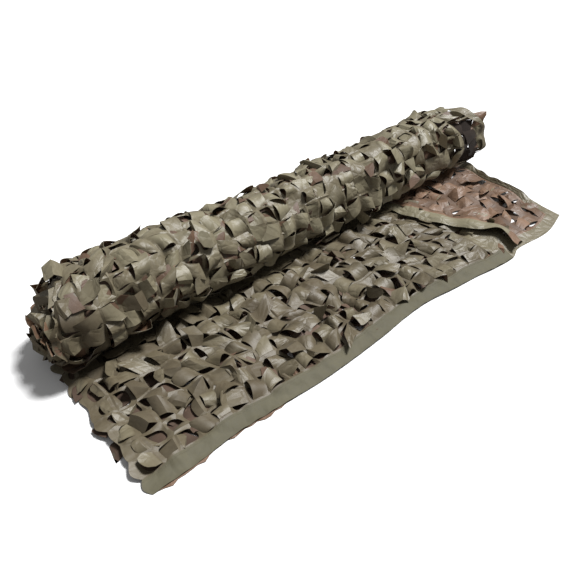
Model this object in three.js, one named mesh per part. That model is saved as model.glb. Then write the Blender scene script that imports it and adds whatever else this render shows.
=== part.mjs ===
// A camouflage net: one incised sheet of cloth, folded in two along its length with its brown face inside,
// then rolled up from the far end. The last stretch lies open in front of the roll.
//
// Millimetres. X runs along the roll, from the fold of the cloth to its free side edges. Y runs from the
// loose end's front hem to the back of the roll. Z is up, and the ground is at zero.
import * as THREE from "three";

// ---------------------------------------------------------------- driving dimensions

const CLOTH_THICKNESS = 2;
const PIECE_GAP = 0.3;

const ROLL = {
  radius: 118, // outermost turn at the ground, under its tongues, where the girth is 1
  turnPitch: 18, // two plies of tongued cloth
  wall: 9, // of each turn, where the ends show it
  sink: 5.2, // how far the outermost turn is pressed flat
  turns: 4, // that the ends show round the hollow core
  cellsAround: 11,
  cellsAlong: 23,
  stepsPerCell: 3, // along the rim of an end
  flatAngle: 15, // degrees of the flat spot, each side of straight down
  coreDepth: 34, // of the hollow core, past the grooves between the turns
  bulge: 2,
  bulgeWave: 210, // length of the bulges along the roll, over 2 pi
  sway: { x: 8, turns: 0.012, lift: 2.5 }, // of the corners of the cells
};

// Thickness of the roll along its length, as a share of the radius.
const GIRTH = [
  { x: 0, y: 1.08 },
  { x: 430, y: 1.06 },
  { x: 560, y: 1 },
  { x: 1180, y: 1 },
  { x: 1500, y: 0.95 },
];

// Each end of the roll: how far its rim stands out at each turn, and where the grooves between turns end.
const LEFT_END = {
  x: -10,
  outward: -1,
  floorX: 26,
  cellsFromRim: 30,
  tongue: 38,
  ripple: 5,
  rim: [{ x: 0, y: 0 }, { x: 4, y: 0 }],
};
const RIGHT_END = {
  x: 1515,
  outward: 1,
  floorX: 1415,
  cellsFromRim: 20,
  tongue: 0,
  ripple: 4,
  rim: [
    { x: 0, y: -15 },
    { x: 0.25, y: 3 },
    { x: 0.5, y: 12 },
    { x: 0.78, y: 15 },
    { x: 0.9, y: 5 },
    { x: 1, y: -20 },
    { x: 1.12, y: -85 },
    { x: 1.5, y: -70 },
    { x: 4, y: -60 },
  ],
};
const INNER_TONGUE = 0.4; // reach of a tongue on the inner turns, as a share of the outermost turn's

// Tongues of the roll stand off it as wedges, and tongues of the loose end as two flat panels.
const TONGUE = {
  inset: 0.14, // of a cell, from its edge to the slit
  length: 54,
  taper: 0.06,
  farthest: 1.08, // of the slit, from its root
  minAngle: 28,
  maxAngle: 50,
  minBend: -30,
  maxBend: 10,
  twist: 0.25,
  headroomAtCrease: 0.4,
};
const WEDGE = { root: 2, foot: -2, minRelief: 9, maxRelief: 19, minLean: 0.6, maxLean: 1.25 };

const LOOSE_END = {
  side: 1500,
  hem: 40,
  creaseY: -45, // where the cloth goes in under the roll
  cellRows: 6,
  upperCells: 19,
  lowerCells: 5,
  hiddenColumns: 6,
  foldSteps: 4,
  upperHeight: 7.5,
  upperWave: 9,
  frontHeight: 5.5,
  lowerWave: 5,
  brimUnderCurl: 40,
  sideHemLift: 30,
  jitter: 5,
};

// Front hem, from the fold to the free corner of the lower ply.
const FRONT_HEM = [
  { x: -30, y: -462 },
  { x: 60, y: -463 },
  { x: 190, y: -455 },
  { x: 325, y: -461 },
  { x: 470, y: -467 },
  { x: 645, y: -460 },
  { x: 750, y: -450 },
  { x: 850, y: -448 },
  { x: 940, y: -460 },
  { x: 1036, y: -469 },
  { x: 1105, y: -480 },
  { x: 1190, y: -485 },
  { x: 1245, y: -468 },
  { x: 1350, y: -478 },
  { x: 1412, y: -475 },
  { x: 1500, y: -452 },
];
const LOWER_PLY_SHOWS = { reach: 10, untilX: 350 };

// Rows of the loose end, from the front hem to where it meets the roll: where the fold lies, where the
// upper ply's side edge starts to curl and how high that curl stands, and where the lower ply's side
// edge lies and how high it stands.
const ROWS = [
  { foldX: -20, curlX: 1240, curl: 1, sideX: 1500, sideLift: 0 },
  { foldX: -22, curlX: 1246, curl: 1, sideX: 1498, sideLift: 0 },
  { foldX: -26, curlX: 1230, curl: 1, sideX: 1503, sideLift: 0.1 },
  { foldX: -18, curlX: 1192, curl: 1, sideX: 1506, sideLift: 0.8 },
  { foldX: -28, curlX: 1162, curl: 0.95, sideX: 1504, sideLift: 1 },
  { foldX: -20, curlX: 1140, curl: 0.85, sideX: 1511, sideLift: 0.9 },
  { foldX: -26, curlX: 1118, curl: 0.6, sideX: 1524, sideLift: 0.4 },
  { foldX: -16, curlX: 1104, curl: 0.2, sideX: 1535, sideLift: 0 },
  { foldX: -14, curlX: 1102, curl: 0.1, sideX: 1535, sideLift: 0 },
];
const HEM_ROW = 1;
const CREASE_ROW = HEM_ROW + LOOSE_END.cellRows;
const LAST_ROW = CREASE_ROW + 1;

// Section of the curled side edge, from the line where it leaves the ply to its free edge.
const CURL = [
  { out: 22, up: 2 },
  { out: 36, up: 14 },
  { out: 34, up: 29 },
  { out: 16, up: 37 },
  { out: -8, up: 38 },
  { out: -30, up: 34 },
];

// ---------------------------------------------------------------- helpers

const DEGREES = Math.PI / 180;

/** A number from 0 to 1 that depends only on the keys. */
function chance(...keys) {
  let value = 0x2545f491;
  for (const key of keys) {
    value = Math.imul(value ^ (key + 0x9e3779b9), 0x85ebca6b);
    value ^= value >>> 13;
  }
  value = Math.imul(value, 0xc2b2ae35);
  value ^= value >>> 16;
  return (value >>> 0) / 4294967296;
}

function between(low, high, ...keys) {
  return low + (high - low) * chance(...keys);
}

function smooth(low, high, value) {
  return THREE.MathUtils.smoothstep(value, low, high);
}

function along(table, x) {
  const next = Math.max(1, table.findIndex((row) => row.x >= x));
  const [a, b] = x > table.at(-1).x ? table.slice(-2) : [table[next - 1], table[next]];
  return THREE.MathUtils.mapLinear(x, a.x, b.x, a.y, b.y);
}

/** A point of the cell between four corners, given in turn, lifted along its own up directions. */
function cellPoint(cell, a, b, lift) {
  const weights = [(1 - a) * (1 - b), a * (1 - b), a * b, (1 - a) * b];
  const point = new THREE.Vector3();
  weights.forEach((weight, k) => {
    point.addScaledVector(cell.corners[k], weight);
    point.addScaledVector(cell.ups[k], weight * lift);
  });
  return point;
}

/** The four corners of the slit square of a cell, starting at the side that the tongue hangs on. */
function slitCorners(side) {
  const low = TONGUE.inset;
  const high = 1 - TONGUE.inset;
  const square = [[low, low], [high, low], [high, high], [low, high]];
  return square.map((corner, k) => square[(k + side) % 4]);
}

/** Collects triangles as points, and gives them back as one geometry. */
class Skin {
  constructor() {
    this.positions = [];
  }

  triangle(a, b, c) {
    for (const point of [a, b, c]) {
      this.positions.push(point.x, point.y, point.z);
    }
  }

  quad(a, b, c, d) {
    this.triangle(a, b, c);
    this.triangle(a, c, d);
  }

  fan(centre, points) {
    for (let k = 0; k + 1 < points.length; k += 1) {
      this.triangle(centre, points[k], points[k + 1]);
    }
  }

  geometry() {
    const geometry = new THREE.BufferGeometry();
    geometry.setAttribute("position", new THREE.Float32BufferAttribute(this.positions, 3));
    geometry.computeVertexNormals();
    return geometry;
  }
}

// ---------------------------------------------------------------- the roll

function axisHeight(x) {
  return (ROLL.radius - ROLL.sink) * along(GIRTH, x);
}

/** A point of the spiral: turns counts from straight down, up the back and over to the front. */
function spiralPoint(turns, x, lift = 0) {
  const angle = turns * 2 * Math.PI;
  const radius = (ROLL.radius - ROLL.turnPitch * turns) * along(GIRTH, x) + lift;
  const height = Math.max(0, axisHeight(x) - radius * Math.cos(angle));
  return new THREE.Vector3(x, radius * Math.sin(angle), height);
}

function spiralUp(turns) {
  const angle = turns * 2 * Math.PI;
  return new THREE.Vector3(0, Math.sin(angle), -Math.cos(angle));
}

/** None where the roll is pressed on the ground or on the loose end, all of it on the rest. */
function reliefShare(turns) {
  const height = (1 - Math.cos(turns * 2 * Math.PI)) / 2;
  return smooth(0.07, 0.26, height);
}

/** Turns at the lattice lines round the roll: the flat spot, the cells, and the stretch over the crease. */
function aroundStations() {
  const first = ROLL.flatAngle / 360;
  const last = 1 - first;
  const stations = [0];
  for (let i = 0; i <= ROLL.cellsAround; i += 1) {
    stations.push(THREE.MathUtils.lerp(first, last, i / ROLL.cellsAround));
  }
  stations.push(1);
  return stations;
}

/** The same lines with the finer steps of an end's rim. */
function rimStations() {
  const stations = aroundStations();
  const rim = [];
  for (let i = 0; i + 1 < stations.length; i += 1) {
    const steps = i === 0 || i + 2 === stations.length ? 1 : ROLL.stepsPerCell;
    for (let k = 0; k < steps; k += 1) {
      rim.push(THREE.MathUtils.lerp(stations[i], stations[i + 1], k / steps));
    }
  }
  return rim;
}

/** Where a lattice line round the roll starts or stops: short of the rim, and at the grooves' floor below. */
function cellsEndX(end, i, stations) {
  const atStep = i === 0 || i + 1 === stations.length;
  return atStep ? end.floorX : rimX(end, stations[i]) - end.outward * end.cellsFromRim;
}

function rollNode(i, j, stations) {
  const start = cellsEndX(LEFT_END, i, stations);
  const stop = cellsEndX(RIGHT_END, i, stations);
  const cell = (stop - start) / ROLL.cellsAlong;
  const inside = j > 0 && j < ROLL.cellsAlong;
  const free = reliefShare(stations[i]) * (inside ? 1 : 0);
  const { sway } = ROLL;
  const x = start + j * cell + free * between(-sway.x, sway.x, i, j, 1);
  const turns = stations[i] + free * between(-sway.turns, sway.turns, i, j, 2);
  const bulge = ROLL.bulge * Math.sin(x / ROLL.bulgeWave + Math.cos(turns * 2 * Math.PI));
  const lift = free * (bulge + between(-sway.lift, sway.lift, i, j, 3));
  const hollowBelow = x < LEFT_END.floorX + cell || x > RIGHT_END.floorX - cell;
  const point = spiralPoint(turns, x, hollowBelow ? Math.abs(lift) : lift);
  return { point, up: spiralUp(turns) };
}

/** One tongue standing off the roll as a wedge: hinged at one side of its slit, open at the other. */
function addRollTongue(skin, cell, i, j) {
  const side = Math.floor(4 * chance(i, j, 4));
  const [r0, r1, f0, f1] = slitCorners(side);
  const share = reliefShare(cell.turns);
  const rise = between(WEDGE.minRelief, WEDGE.maxRelief, i, j, 5) * share;
  const lean = between(WEDGE.minLean, WEDGE.maxLean, i, j, 6);
  const root0 = cellPoint(cell, ...r0, WEDGE.root * share);
  const root1 = cellPoint(cell, ...r1, WEDGE.root * share);
  const foot0 = cellPoint(cell, ...f0, WEDGE.foot * share);
  const foot1 = cellPoint(cell, ...f1, WEDGE.foot * share);
  const tip0 = cellPoint(cell, ...f0, rise * lean);
  const tip1 = cellPoint(cell, ...f1, rise);
  skin.quad(root0, root1, tip0, tip1);
  skin.triangle(root1, foot0, tip0);
  skin.triangle(root0, tip1, foot1);
  skin.quad(tip0, foot0, foot1, tip1);
  addCellFrame(skin, cell, side, [root0, root1, foot0, foot1]);
}

/** The cloth round a slit, from the cell's own corners in to the slit's. */
function addCellFrame(skin, cell, side, slit) {
  for (let k = 0; k < 4; k += 1) {
    const outerA = cell.corners[(k + side) % 4];
    const outerB = cell.corners[(k + side + 1) % 4];
    skin.quad(outerA, outerB, slit[(k + 1) % 4], slit[k]);
  }
}

/** Where an end's rim lies at a turn, before its ripples and tongues. */
function rimX(end, turns) {
  return end.x + end.outward * along(end.rim, turns);
}

/** What the rim adds at a place of the spiral: ripples, and tongues where the roll is free. */
function rimFringe(end, index, turns, rimCount) {
  const ripple = between(-end.ripple, end.ripple, index, end.outward + 1, 7);
  const inTongue = (index - 1) % ROLL.stepsPerCell;
  const onTongue = index % rimCount > 0 && inTongue > 0 && reliefShare(turns) > 0;
  const reach = between(0.1, 1, Math.floor((index - 1) / ROLL.stepsPerCell), 8);
  const tongue = onTongue ? end.tongue * reach : 0;
  return ripple + tongue * (turns > 1 ? INNER_TONGUE : 1);
}

/** The end of the roll: a wall that winds inwards, the groove beside it, and the hollow at the core. */
function addRollEnd(skin, end, band) {
  const rim = rimStations();
  const count = rim.length;
  const total = ROLL.turns * count;
  const wall = [];
  for (let s = 0; s <= total; s += 1) {
    const turns = Math.floor(s / count) + (rim[s % count] ?? 0);
    const x = rimX(end, turns) + end.outward * rimFringe(end, s, turns, count);
    wall.push({
      outer: spiralPoint(turns, x),
      inner: spiralPoint(turns, x, -ROLL.wall),
      innerFloor: spiralPoint(turns, end.floorX, -ROLL.wall),
      outerFloor: spiralPoint(turns, end.floorX),
    });
  }
  const deepX = end.floorX - end.outward * ROLL.coreDepth;
  const core = new THREE.Vector3(deepX, 0, axisHeight(deepX));
  const quad = facing(skin, end);
  for (let s = 0; s < total; s += 1) {
    const a = wall[s];
    const b = wall[s + 1];
    quad(a.outer, b.outer, b.inner, a.inner);
    quad(a.inner, b.inner, b.innerFloor, a.innerFloor);
    const c = wall[s + count];
    const d = wall[s + count + 1];
    if (d) {
      quad(a.innerFloor, b.innerFloor, d.outerFloor, c.outerFloor);
      quad(c.outerFloor, d.outerFloor, d.outer, c.outer);
    } else {
      quad(a.innerFloor, b.innerFloor, core);
    }
  }
  const before = wall[total - count];
  const last = wall[total];
  quad(core, last.outerFloor, before.innerFloor);
  quad(core, last.innerFloor, last.outerFloor);
  quad(last.innerFloor, last.inner, last.outer, last.outerFloor);
  addRimBand(quad, wall, band, end);
  return wall;
}

/** Adds an end's faces, given in the order that points out at the right end. */
function facing(skin, end) {
  return (a, b, c, d) => {
    const points = d ? [a, b, c, d] : [a, b, c];
    if (end.outward < 0) {
      points.reverse();
    }
    if (d) {
      skin.quad(...points);
    } else {
      skin.triangle(...points);
    }
  };
}

/** The outermost turn between the last cells and the rim. */
function addRimBand(quad, wall, band, end) {
  let step = 0;
  for (let i = 0; i + 1 < band.length; i += 1) {
    const steps = i === 0 || i + 2 === band.length ? 1 : ROLL.stepsPerCell;
    for (let k = 0; k < steps; k += 1) {
      quad(band[i], wall[step + 1].outer, wall[step].outer);
      step += 1;
    }
    quad(band[i], band[i + 1], wall[step].outer);
  }
}

/** The face where the outermost turn starts, against the loose end. */
function addRollStep(skin, lattice, leftWall, rightWall) {
  const ground = lattice[0].map((node) => node.point);
  const belly = lattice.at(-1).map((node) => node.point);
  const last = ground.length - 1;
  const leftFloor = leftWall[0].innerFloor;
  const rightFloor = rightWall[0].innerFloor;
  skin.quad(leftWall[0].outer, ground[0], leftFloor, leftWall[0].inner);
  skin.fan(leftFloor, [ground[0], ground[1], belly[1], belly[0]]);
  for (let j = 1; j + 1 < last; j += 1) {
    skin.quad(ground[j], ground[j + 1], belly[j + 1], belly[j]);
  }
  skin.fan(rightFloor, [belly[last], belly[last - 1], ground[last - 1], ground[last]]);
  skin.quad(ground[last], rightWall[0].outer, rightWall[0].inner, rightFloor);
}

function rollGeometry() {
  const skin = new Skin();
  const stations = aroundStations();
  const lattice = stations.map((turns, i) => {
    return Array.from({ length: ROLL.cellsAlong + 1 }, (unused, j) => rollNode(i, j, stations));
  });
  for (let i = 0; i + 1 < stations.length; i += 1) {
    for (let j = 0; j < ROLL.cellsAlong; j += 1) {
      const nodes = [lattice[i][j], lattice[i + 1][j], lattice[i + 1][j + 1], lattice[i][j + 1]];
      const corners = nodes.map((node) => node.point);
      const ups = nodes.map((node) => node.up);
      const turns = (stations[i] + stations[i + 1]) / 2;
      if (reliefShare(turns) > 0.2) {
        addRollTongue(skin, { corners, ups, turns }, i, j);
      } else {
        skin.quad(...corners);
      }
    }
  }
  const leftBand = lattice.map((row) => row[0].point);
  const rightBand = lattice.map((row) => row.at(-1).point);
  const leftWall = addRollEnd(skin, LEFT_END, leftBand);
  const rightWall = addRollEnd(skin, RIGHT_END, rightBand);
  addRollStep(skin, lattice, leftWall, rightWall);
  return skin.geometry();
}

// ---------------------------------------------------------------- the loose end

/** A sheet as one layer of shared points and triangles, thickened at the end. */
class Sheet {
  constructor() {
    this.points = [];
    this.triangles = [];
  }

  point(vector) {
    this.points.push(vector);
    return this.points.length - 1;
  }

  quad(a, b, c, d) {
    this.triangles.push([a, b, c], [a, c, d]);
  }

  normals() {
    const normals = this.points.map(() => new THREE.Vector3());
    const face = new THREE.Triangle();
    const direction = new THREE.Vector3();
    for (const corners of this.triangles) {
      face.set(...corners.map((k) => this.points[k]));
      face.getNormal(direction).multiplyScalar(face.getArea());
      corners.forEach((k) => normals[k].add(direction));
    }
    return normals.map((normal) => normal.normalize());
  }

  /** Edges that only one triangle has, in that triangle's direction. */
  border() {
    const edges = new Map();
    for (const [a, b, c] of this.triangles) {
      for (const [from, to] of [[a, b], [b, c], [c, a]]) {
        if (!edges.delete(`${to} ${from}`)) {
          edges.set(`${from} ${to}`, [from, to]);
        }
      }
    }
    return [...edges.values()];
  }

  thicken(thickness, lowest) {
    const skin = new Skin();
    const normals = this.normals();
    const shifted = (side) => this.points.map((point, k) => {
      const moved = point.clone().addScaledVector(normals[k], (side * thickness) / 2);
      moved.z = Math.max(lowest, moved.z);
      return moved;
    });
    const front = shifted(1);
    const back = shifted(-1);
    for (const [a, b, c] of this.triangles) {
      skin.triangle(front[a], front[b], front[c]);
      skin.triangle(back[c], back[b], back[a]);
    }
    for (const [from, to] of this.border()) {
      skin.quad(front[to], front[from], back[from], back[to]);
    }
    return skin.geometry();
  }
}

function rowY(row, x) {
  const front = along(FRONT_HEM, x);
  if (row === 0) {
    return front;
  }
  if (row === LAST_ROW) {
    return -PIECE_GAP;
  }
  return THREE.MathUtils.mapLinear(row, HEM_ROW, CREASE_ROW, front + LOOSE_END.hem, LOOSE_END.creaseY);
}

function inField(row) {
  return row > HEM_ROW && row < CREASE_ROW;
}

function upperHeight(row, x) {
  if (row === 0) {
    return LOOSE_END.frontHeight;
  }
  const wave = 0.5 + 0.3 * Math.sin(x / 71 + row * 2.1) + 0.2 * Math.sin(x / 33 - row * 1.3);
  return LOOSE_END.upperHeight + (inField(row) ? LOOSE_END.upperWave * wave : 0);
}

/** Lattice columns of the lower ply, from its side hem to the fold. */
function lowerColumns(row) {
  const { foldX, curlX, sideX, sideLift } = ROWS[row];
  const ground = CLOTH_THICKNESS / 2;
  const shows = curlX + LOOSE_END.brimUnderCurl;
  const seam = LOOSE_END.side - LOOSE_END.hem;
  const columns = [{ x: sideX, z: ground + LOOSE_END.sideHemLift * sideLift }];
  for (let k = 0; k <= LOOSE_END.lowerCells; k += 1) {
    const inside = k > 0 && k < LOOSE_END.lowerCells && inField(row);
    const x = THREE.MathUtils.lerp(seam, shows, k / LOOSE_END.lowerCells);
    const free = inside ? 1 : 0;
    const wave = free * LOOSE_END.lowerWave * chance(row, k, 11);
    columns.push({ x: x + free * between(-1, 1, row, k, 12) * LOOSE_END.jitter, z: ground + wave });
  }
  for (let k = 1; k <= LOOSE_END.hiddenColumns; k += 1) {
    const x = THREE.MathUtils.lerp(shows, foldX + LOOSE_END.upperHeight, k / LOOSE_END.hiddenColumns);
    columns.push({ x, z: ground });
  }
  return columns;
}

function foldColumns(row) {
  const bottom = CLOTH_THICKNESS / 2;
  const top = upperHeight(row, ROWS[row].foldX);
  const radius = (top - bottom) / 2;
  const columns = [];
  for (let k = 1; k < LOOSE_END.foldSteps; k += 1) {
    const angle = (k / LOOSE_END.foldSteps) * Math.PI;
    columns.push({
      x: ROWS[row].foldX + LOOSE_END.upperHeight - radius * 1.6 * Math.sin(angle),
      z: bottom + radius * (1 - Math.cos(angle)),
    });
  }
  return columns;
}

/** Lattice columns of the upper ply, from the fold to its side edge, which curls back over it. */
function upperColumns(row) {
  const { foldX, curlX, curl } = ROWS[row];
  const columns = [];
  for (let k = 0; k <= LOOSE_END.upperCells; k += 1) {
    const x = THREE.MathUtils.lerp(foldX + LOOSE_END.upperHeight, curlX, k / LOOSE_END.upperCells);
    const free = k > 0 && k < LOOSE_END.upperCells && inField(row) ? LOOSE_END.jitter : 0;
    columns.push({ x: x + free * between(-1, 1, row, k, 13), z: upperHeight(row, x) });
  }
  for (const step of CURL) {
    columns.push({ x: curlX + step.out, z: upperHeight(row, curlX) + step.up * curl });
  }
  return columns;
}

/** A tongue that stands in its own cell: two panels, the outer one bent back or further up. */
function addSheetTongue(sheet, cell, slit, side, keys) {
  const [r0, r1, f0, f1] = slitCorners(side);
  const centreRoot = [(r0[0] + r1[0]) / 2, (r0[1] + r1[1]) / 2];
  const centreFoot = [(f0[0] + f1[0]) / 2, (f0[1] + f1[1]) / 2];
  const reach = cellPoint(cell, ...centreRoot, 0).distanceTo(cellPoint(cell, ...centreFoot, 0));
  const angle = between(TONGUE.minAngle, TONGUE.maxAngle, ...keys, 14) * DEGREES;
  const bend = between(TONGUE.minBend, TONGUE.maxBend, ...keys, 15) * DEGREES;
  const twist = between(-TONGUE.twist, TONGUE.twist, ...keys, 16);
  const half = TONGUE.length / 2;
  const runs = [half * Math.cos(angle), half * (Math.cos(angle) + Math.cos(angle + bend))];
  const rises = [half * Math.sin(angle), half * (Math.sin(angle) + Math.sin(angle + bend))];
  const edge = (root, foot, inner, sign) => runs.map((run, k) => {
    const share = Math.min(TONGUE.farthest, run / reach);
    const narrow = TONGUE.taper * (k + 1);
    const at = root.map((value, axis) => {
      const forward = THREE.MathUtils.lerp(value, foot[axis], share);
      const across = THREE.MathUtils.lerp(inner[0][axis], inner[1][axis], share);
      return THREE.MathUtils.lerp(forward, across, narrow);
    });
    return sheet.point(cellPoint(cell, ...at, rises[k] * cell.headroom * (1 + sign * twist)));
  });
  const [midA, tipA] = edge(r0, f1, [centreRoot, centreFoot], 1);
  const [midB, tipB] = edge(r1, f0, [centreRoot, centreFoot], -1);
  sheet.quad(slit[0], slit[1], midB, midA);
  sheet.quad(midA, midB, tipB, tipA);
}

function addSheetCell(sheet, cell, side, keys) {
  const slit = slitCorners(side).map(([a, b]) => sheet.point(cellPoint(cell, a, b, 0)));
  for (let k = 0; k < 4; k += 1) {
    const outerA = cell.ids[(k + side) % 4];
    const outerB = cell.ids[(k + side + 1) % 4];
    sheet.quad(outerA, outerB, slit[(k + 1) % 4], slit[k]);
  }
  addSheetTongue(sheet, cell, slit, side, keys);
}

function looseEndGeometry() {
  const sheet = new Sheet();
  const lattice = ROWS.map((unused, row) => {
    const columns = [...lowerColumns(row), ...foldColumns(row), ...upperColumns(row)];
    const upperStart = columns.length - upperColumns(row).length;
    return columns.map(({ x, z }, column) => {
      const hidden = column < upperStart && x < LOWER_PLY_SHOWS.untilX && row === 0;
      const sway = inField(row) ? LOOSE_END.jitter * between(-1, 1, row, column, 17) : 0;
      const y = rowY(row, x) + sway - (hidden ? LOWER_PLY_SHOWS.reach : 0);
      return sheet.point(new THREE.Vector3(x, y, z));
    });
  });
  const firstUpper = 1 + LOOSE_END.lowerCells + LOOSE_END.hiddenColumns + LOOSE_END.foldSteps;
  const up = new THREE.Vector3(0, 0, 1);
  for (let row = 0; row < LAST_ROW; row += 1) {
    for (let column = 0; column + 1 < lattice[row].length; column += 1) {
      const ids = [
        lattice[row][column],
        lattice[row][column + 1],
        lattice[row + 1][column + 1],
        lattice[row + 1][column],
      ];
      const inRows = row >= HEM_ROW && row < CREASE_ROW;
      const lower = column >= 1 && column <= LOOSE_END.lowerCells;
      const upper = column >= firstUpper && column < firstUpper + LOOSE_END.upperCells;
      const corner = upper && row === HEM_ROW && column + 1 === firstUpper + LOOSE_END.upperCells;
      if (!inRows || !(lower || upper) || corner) {
        sheet.quad(...ids);
        continue;
      }
      const cell = {
        ids,
        corners: ids.map((k) => sheet.points[k]),
        ups: [up, up, up, up],
        headroom: row + 1 === CREASE_ROW ? TONGUE.headroomAtCrease : 1,
      };
      const atFold = column === firstUpper;
      const side = atFold ? 1 : Math.floor(4 * chance(row, column, 18));
      addSheetCell(sheet, cell, side, [row, column]);
    }
  }
  return sheet.thicken(CLOTH_THICKNESS, 0);
}

// ---------------------------------------------------------------- the net

const green = new THREE.MeshStandardMaterial({ color: 0x6f6656, roughness: 0.55, metalness: 0 });

function makeMesh(name, geometry) {
  const mesh = new THREE.Mesh(geometry, green);
  mesh.name = name;
  return mesh;
}

/** Puts the origin on the ground under the middle of the net. */
function centred(group) {
  const middle = new THREE.Box3().setFromObject(group).getCenter(new THREE.Vector3());
  group.position.set(-middle.x, -middle.y, 0);
  return group;
}

const net = new THREE.Group();
net.add(makeMesh("net_roll", rollGeometry()));
net.add(makeMesh("net_loose_end", looseEndGeometry()));

export default centred(net);
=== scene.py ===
"""A camouflage net of slit cloth, folded in two, brown face inside, and rolled up with one end open."""

import math

import bpy
import numpy as np
from bpy.props import FloatProperty, FloatVectorProperty, IntProperty, PointerProperty
from mathutils import Euler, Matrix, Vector


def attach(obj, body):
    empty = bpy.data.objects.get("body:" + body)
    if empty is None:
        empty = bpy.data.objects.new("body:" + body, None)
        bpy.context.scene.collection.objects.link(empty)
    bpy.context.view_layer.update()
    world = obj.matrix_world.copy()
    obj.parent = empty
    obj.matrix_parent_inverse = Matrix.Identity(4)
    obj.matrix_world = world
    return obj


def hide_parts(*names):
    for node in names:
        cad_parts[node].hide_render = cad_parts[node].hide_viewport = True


bl_info = {
    "name": "Camouflage Net",
    "version": (1, 0, 0),
    "blender": (4, 5, 0),
    "location": "View3D > Sidebar > Net",
    "description": "A rolled net of slit cloth with one end lying open",
    "category": "Object",
}

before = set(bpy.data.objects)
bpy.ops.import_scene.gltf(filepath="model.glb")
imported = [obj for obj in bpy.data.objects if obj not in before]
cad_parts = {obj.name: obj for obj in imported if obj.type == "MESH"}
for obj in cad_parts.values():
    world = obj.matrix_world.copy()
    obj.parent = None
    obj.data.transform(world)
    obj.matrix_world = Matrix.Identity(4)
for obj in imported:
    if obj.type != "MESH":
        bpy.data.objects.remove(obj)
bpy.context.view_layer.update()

# ---------------------------------------------------------------- sizes, in metres
#
# X runs along the roll from the fold of the cloth, Y from the front to the back with 0 under the roll's
# axis, and Z up. ORIGIN takes that to the frame, whose origin is under the middle of the net.
ORIGIN = np.array((-0.7434, 0.1727, 0.0))

WIDTH = 1.525  # of a ply, from the fold to its side edge
HEM = 0.039  # width of the hem
COLUMNS = 30  # of slits from the fold to the hem
ROLL_ROWS = 14  # of slits round one turn

ROLL_RADIUS = 0.118
TURN_PITCH = 0.018
ROLL_SINK = 0.0052
PLY_GAP = 0.012
CLOTH_SINK = 0.007  # of the cloth below the tips of its tongues
INNERMOST_TURN = 4.3
GIRTH = ((0.0, 1.08), (0.43, 1.06), (0.56, 1.0), (1.18, 1.0), (1.5, 0.95))
FOLD_X = -0.010
FOLD_BEND = math.pi * PLY_GAP / 2  # length of cloth in the fold's half round
SLANT = (0.12, 0.30, 0.50, 0.72)  # turns where the roll's left end slants
STRAIGHT_UNTIL = 1.10
PRESSED_ABOVE = 0.258
PRESSED_SHARE = 0.35  # of the height past that which cloth keeps
LOWEST = 0.0003
WELDS_IN_METRE = 50000  # points in the same 0.02 mm are one

# Where the rim of the outermost turn lies at the open end, against turns.
OPEN_RIM = (
    (0.0, 1.500), (0.25, 1.505), (0.40, 1.515), (0.50, 1.524), (0.60, 1.545), (0.68, 1.570), (0.76, 1.579),
    (0.82, 1.566), (0.87, 1.528), (0.93, 1.460), (1.0, 1.440),
)
GAPING = (0.56, 0.93)  # turns between which the hem stands off from the net
GAPING_HEM = 0.016  # its width there

# The front edge of the loose end: X and Y.
FRONT_HEM = (
    (-0.030, -0.462), (0.060, -0.463), (0.190, -0.455), (0.325, -0.461), (0.470, -0.467),
    (0.645, -0.460), (0.750, -0.450), (0.850, -0.448), (0.940, -0.460), (1.036, -0.469),
    (1.105, -0.480), (1.190, -0.485), (1.245, -0.468), (1.350, -0.478), (1.412, -0.475),
    (1.500, -0.452),
)

# The rest of it, against the distance from its front hem: where it goes under the roll and stops, and X of
# the fold, of the curl's start and of the lower ply's side, with the share that curl and side stand up.
CREASE = 0.430
CREASE_Y = -0.045
CLOTH_STOP = 0.475
LOBE = 0.0489  # of the cut fold
ROW_AT = (0.0, 0.040, 0.105, 0.170, 0.235, 0.300, 0.365, 0.430, 0.475)
FOLD_AT_ROW = (-0.020, -0.022, -0.026, -0.018, -0.028, -0.020, -0.026, -0.016, -0.014)
CURL_AT_ROW = (1.188, 1.194, 1.201, 1.192, 1.161, 1.136, 1.118, 1.104, 1.102)
CURL_SHARE = (1.0, 1.0, 1.0, 1.0, 0.95, 0.85, 0.70, 0.15, 0.10)
SIDE_AT_ROW = (1.500, 1.498, 1.503, 1.506, 1.504, 1.511, 1.524, 1.535, 1.535)
SIDE_LIFT = (0.0, 0.05, 0.35, 0.90, 1.0, 1.0, 0.85, 0.35, 0.0)

# Two sections of the curl: out from its start, and up.
CURL_LAID = (
    (0.0, 0.0), (0.028, 0.001), (0.044, 0.008), (0.046, 0.018), (0.030, 0.025), (0.008, 0.026),
    (-0.012, 0.022), (-0.026, 0.015),
)
CURL_STANDING = (
    (0.0, 0.0), (0.026, 0.001), (0.050, 0.004), (0.066, 0.010), (0.068, 0.016), (0.056, 0.022),
    (0.040, 0.026), (0.022, 0.029),
)

CURL_LENGTH = 0.130
STITCH_INSET = 0.005

CAMERA_AT = (-0.3015, -1.1870, 1.1297)
CAMERA_TURN = (50.427, 0.0, -41.410)
CAMERA_LENS = 39.914
SUN_FROM = (0.41, -0.14, 0.90)
SUN_WIDTH = 14  # degrees

# ---------------------------------------------------------------- finishes

GREEN, BROWN, HEM_CLOTH = 0, 1, 2

# Name, colour, share and cast of the light end and of the dark end of the cloth's colour, and roughness.
# The tone mixes between these two ends, partly at random and partly as painted light and shade; the dark
# end's warm cast is painted shade.
FINISHES = (
    ("net_green_cloth", "green", 1.55, (0.98, 1.03, 1.02), 0.68, (1.05, 0.97, 0.88), 0.44),
    ("net_brown_cloth", "brown", 0.90, (0.99, 1.0, 1.02), 0.42, (1.0, 0.95, 0.88), 0.50),
    ("net_hem_cloth", "green", 1.45, (0.97, 1.04, 0.98), 0.62, (0.97, 1.03, 0.86), 0.66),
)


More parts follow.
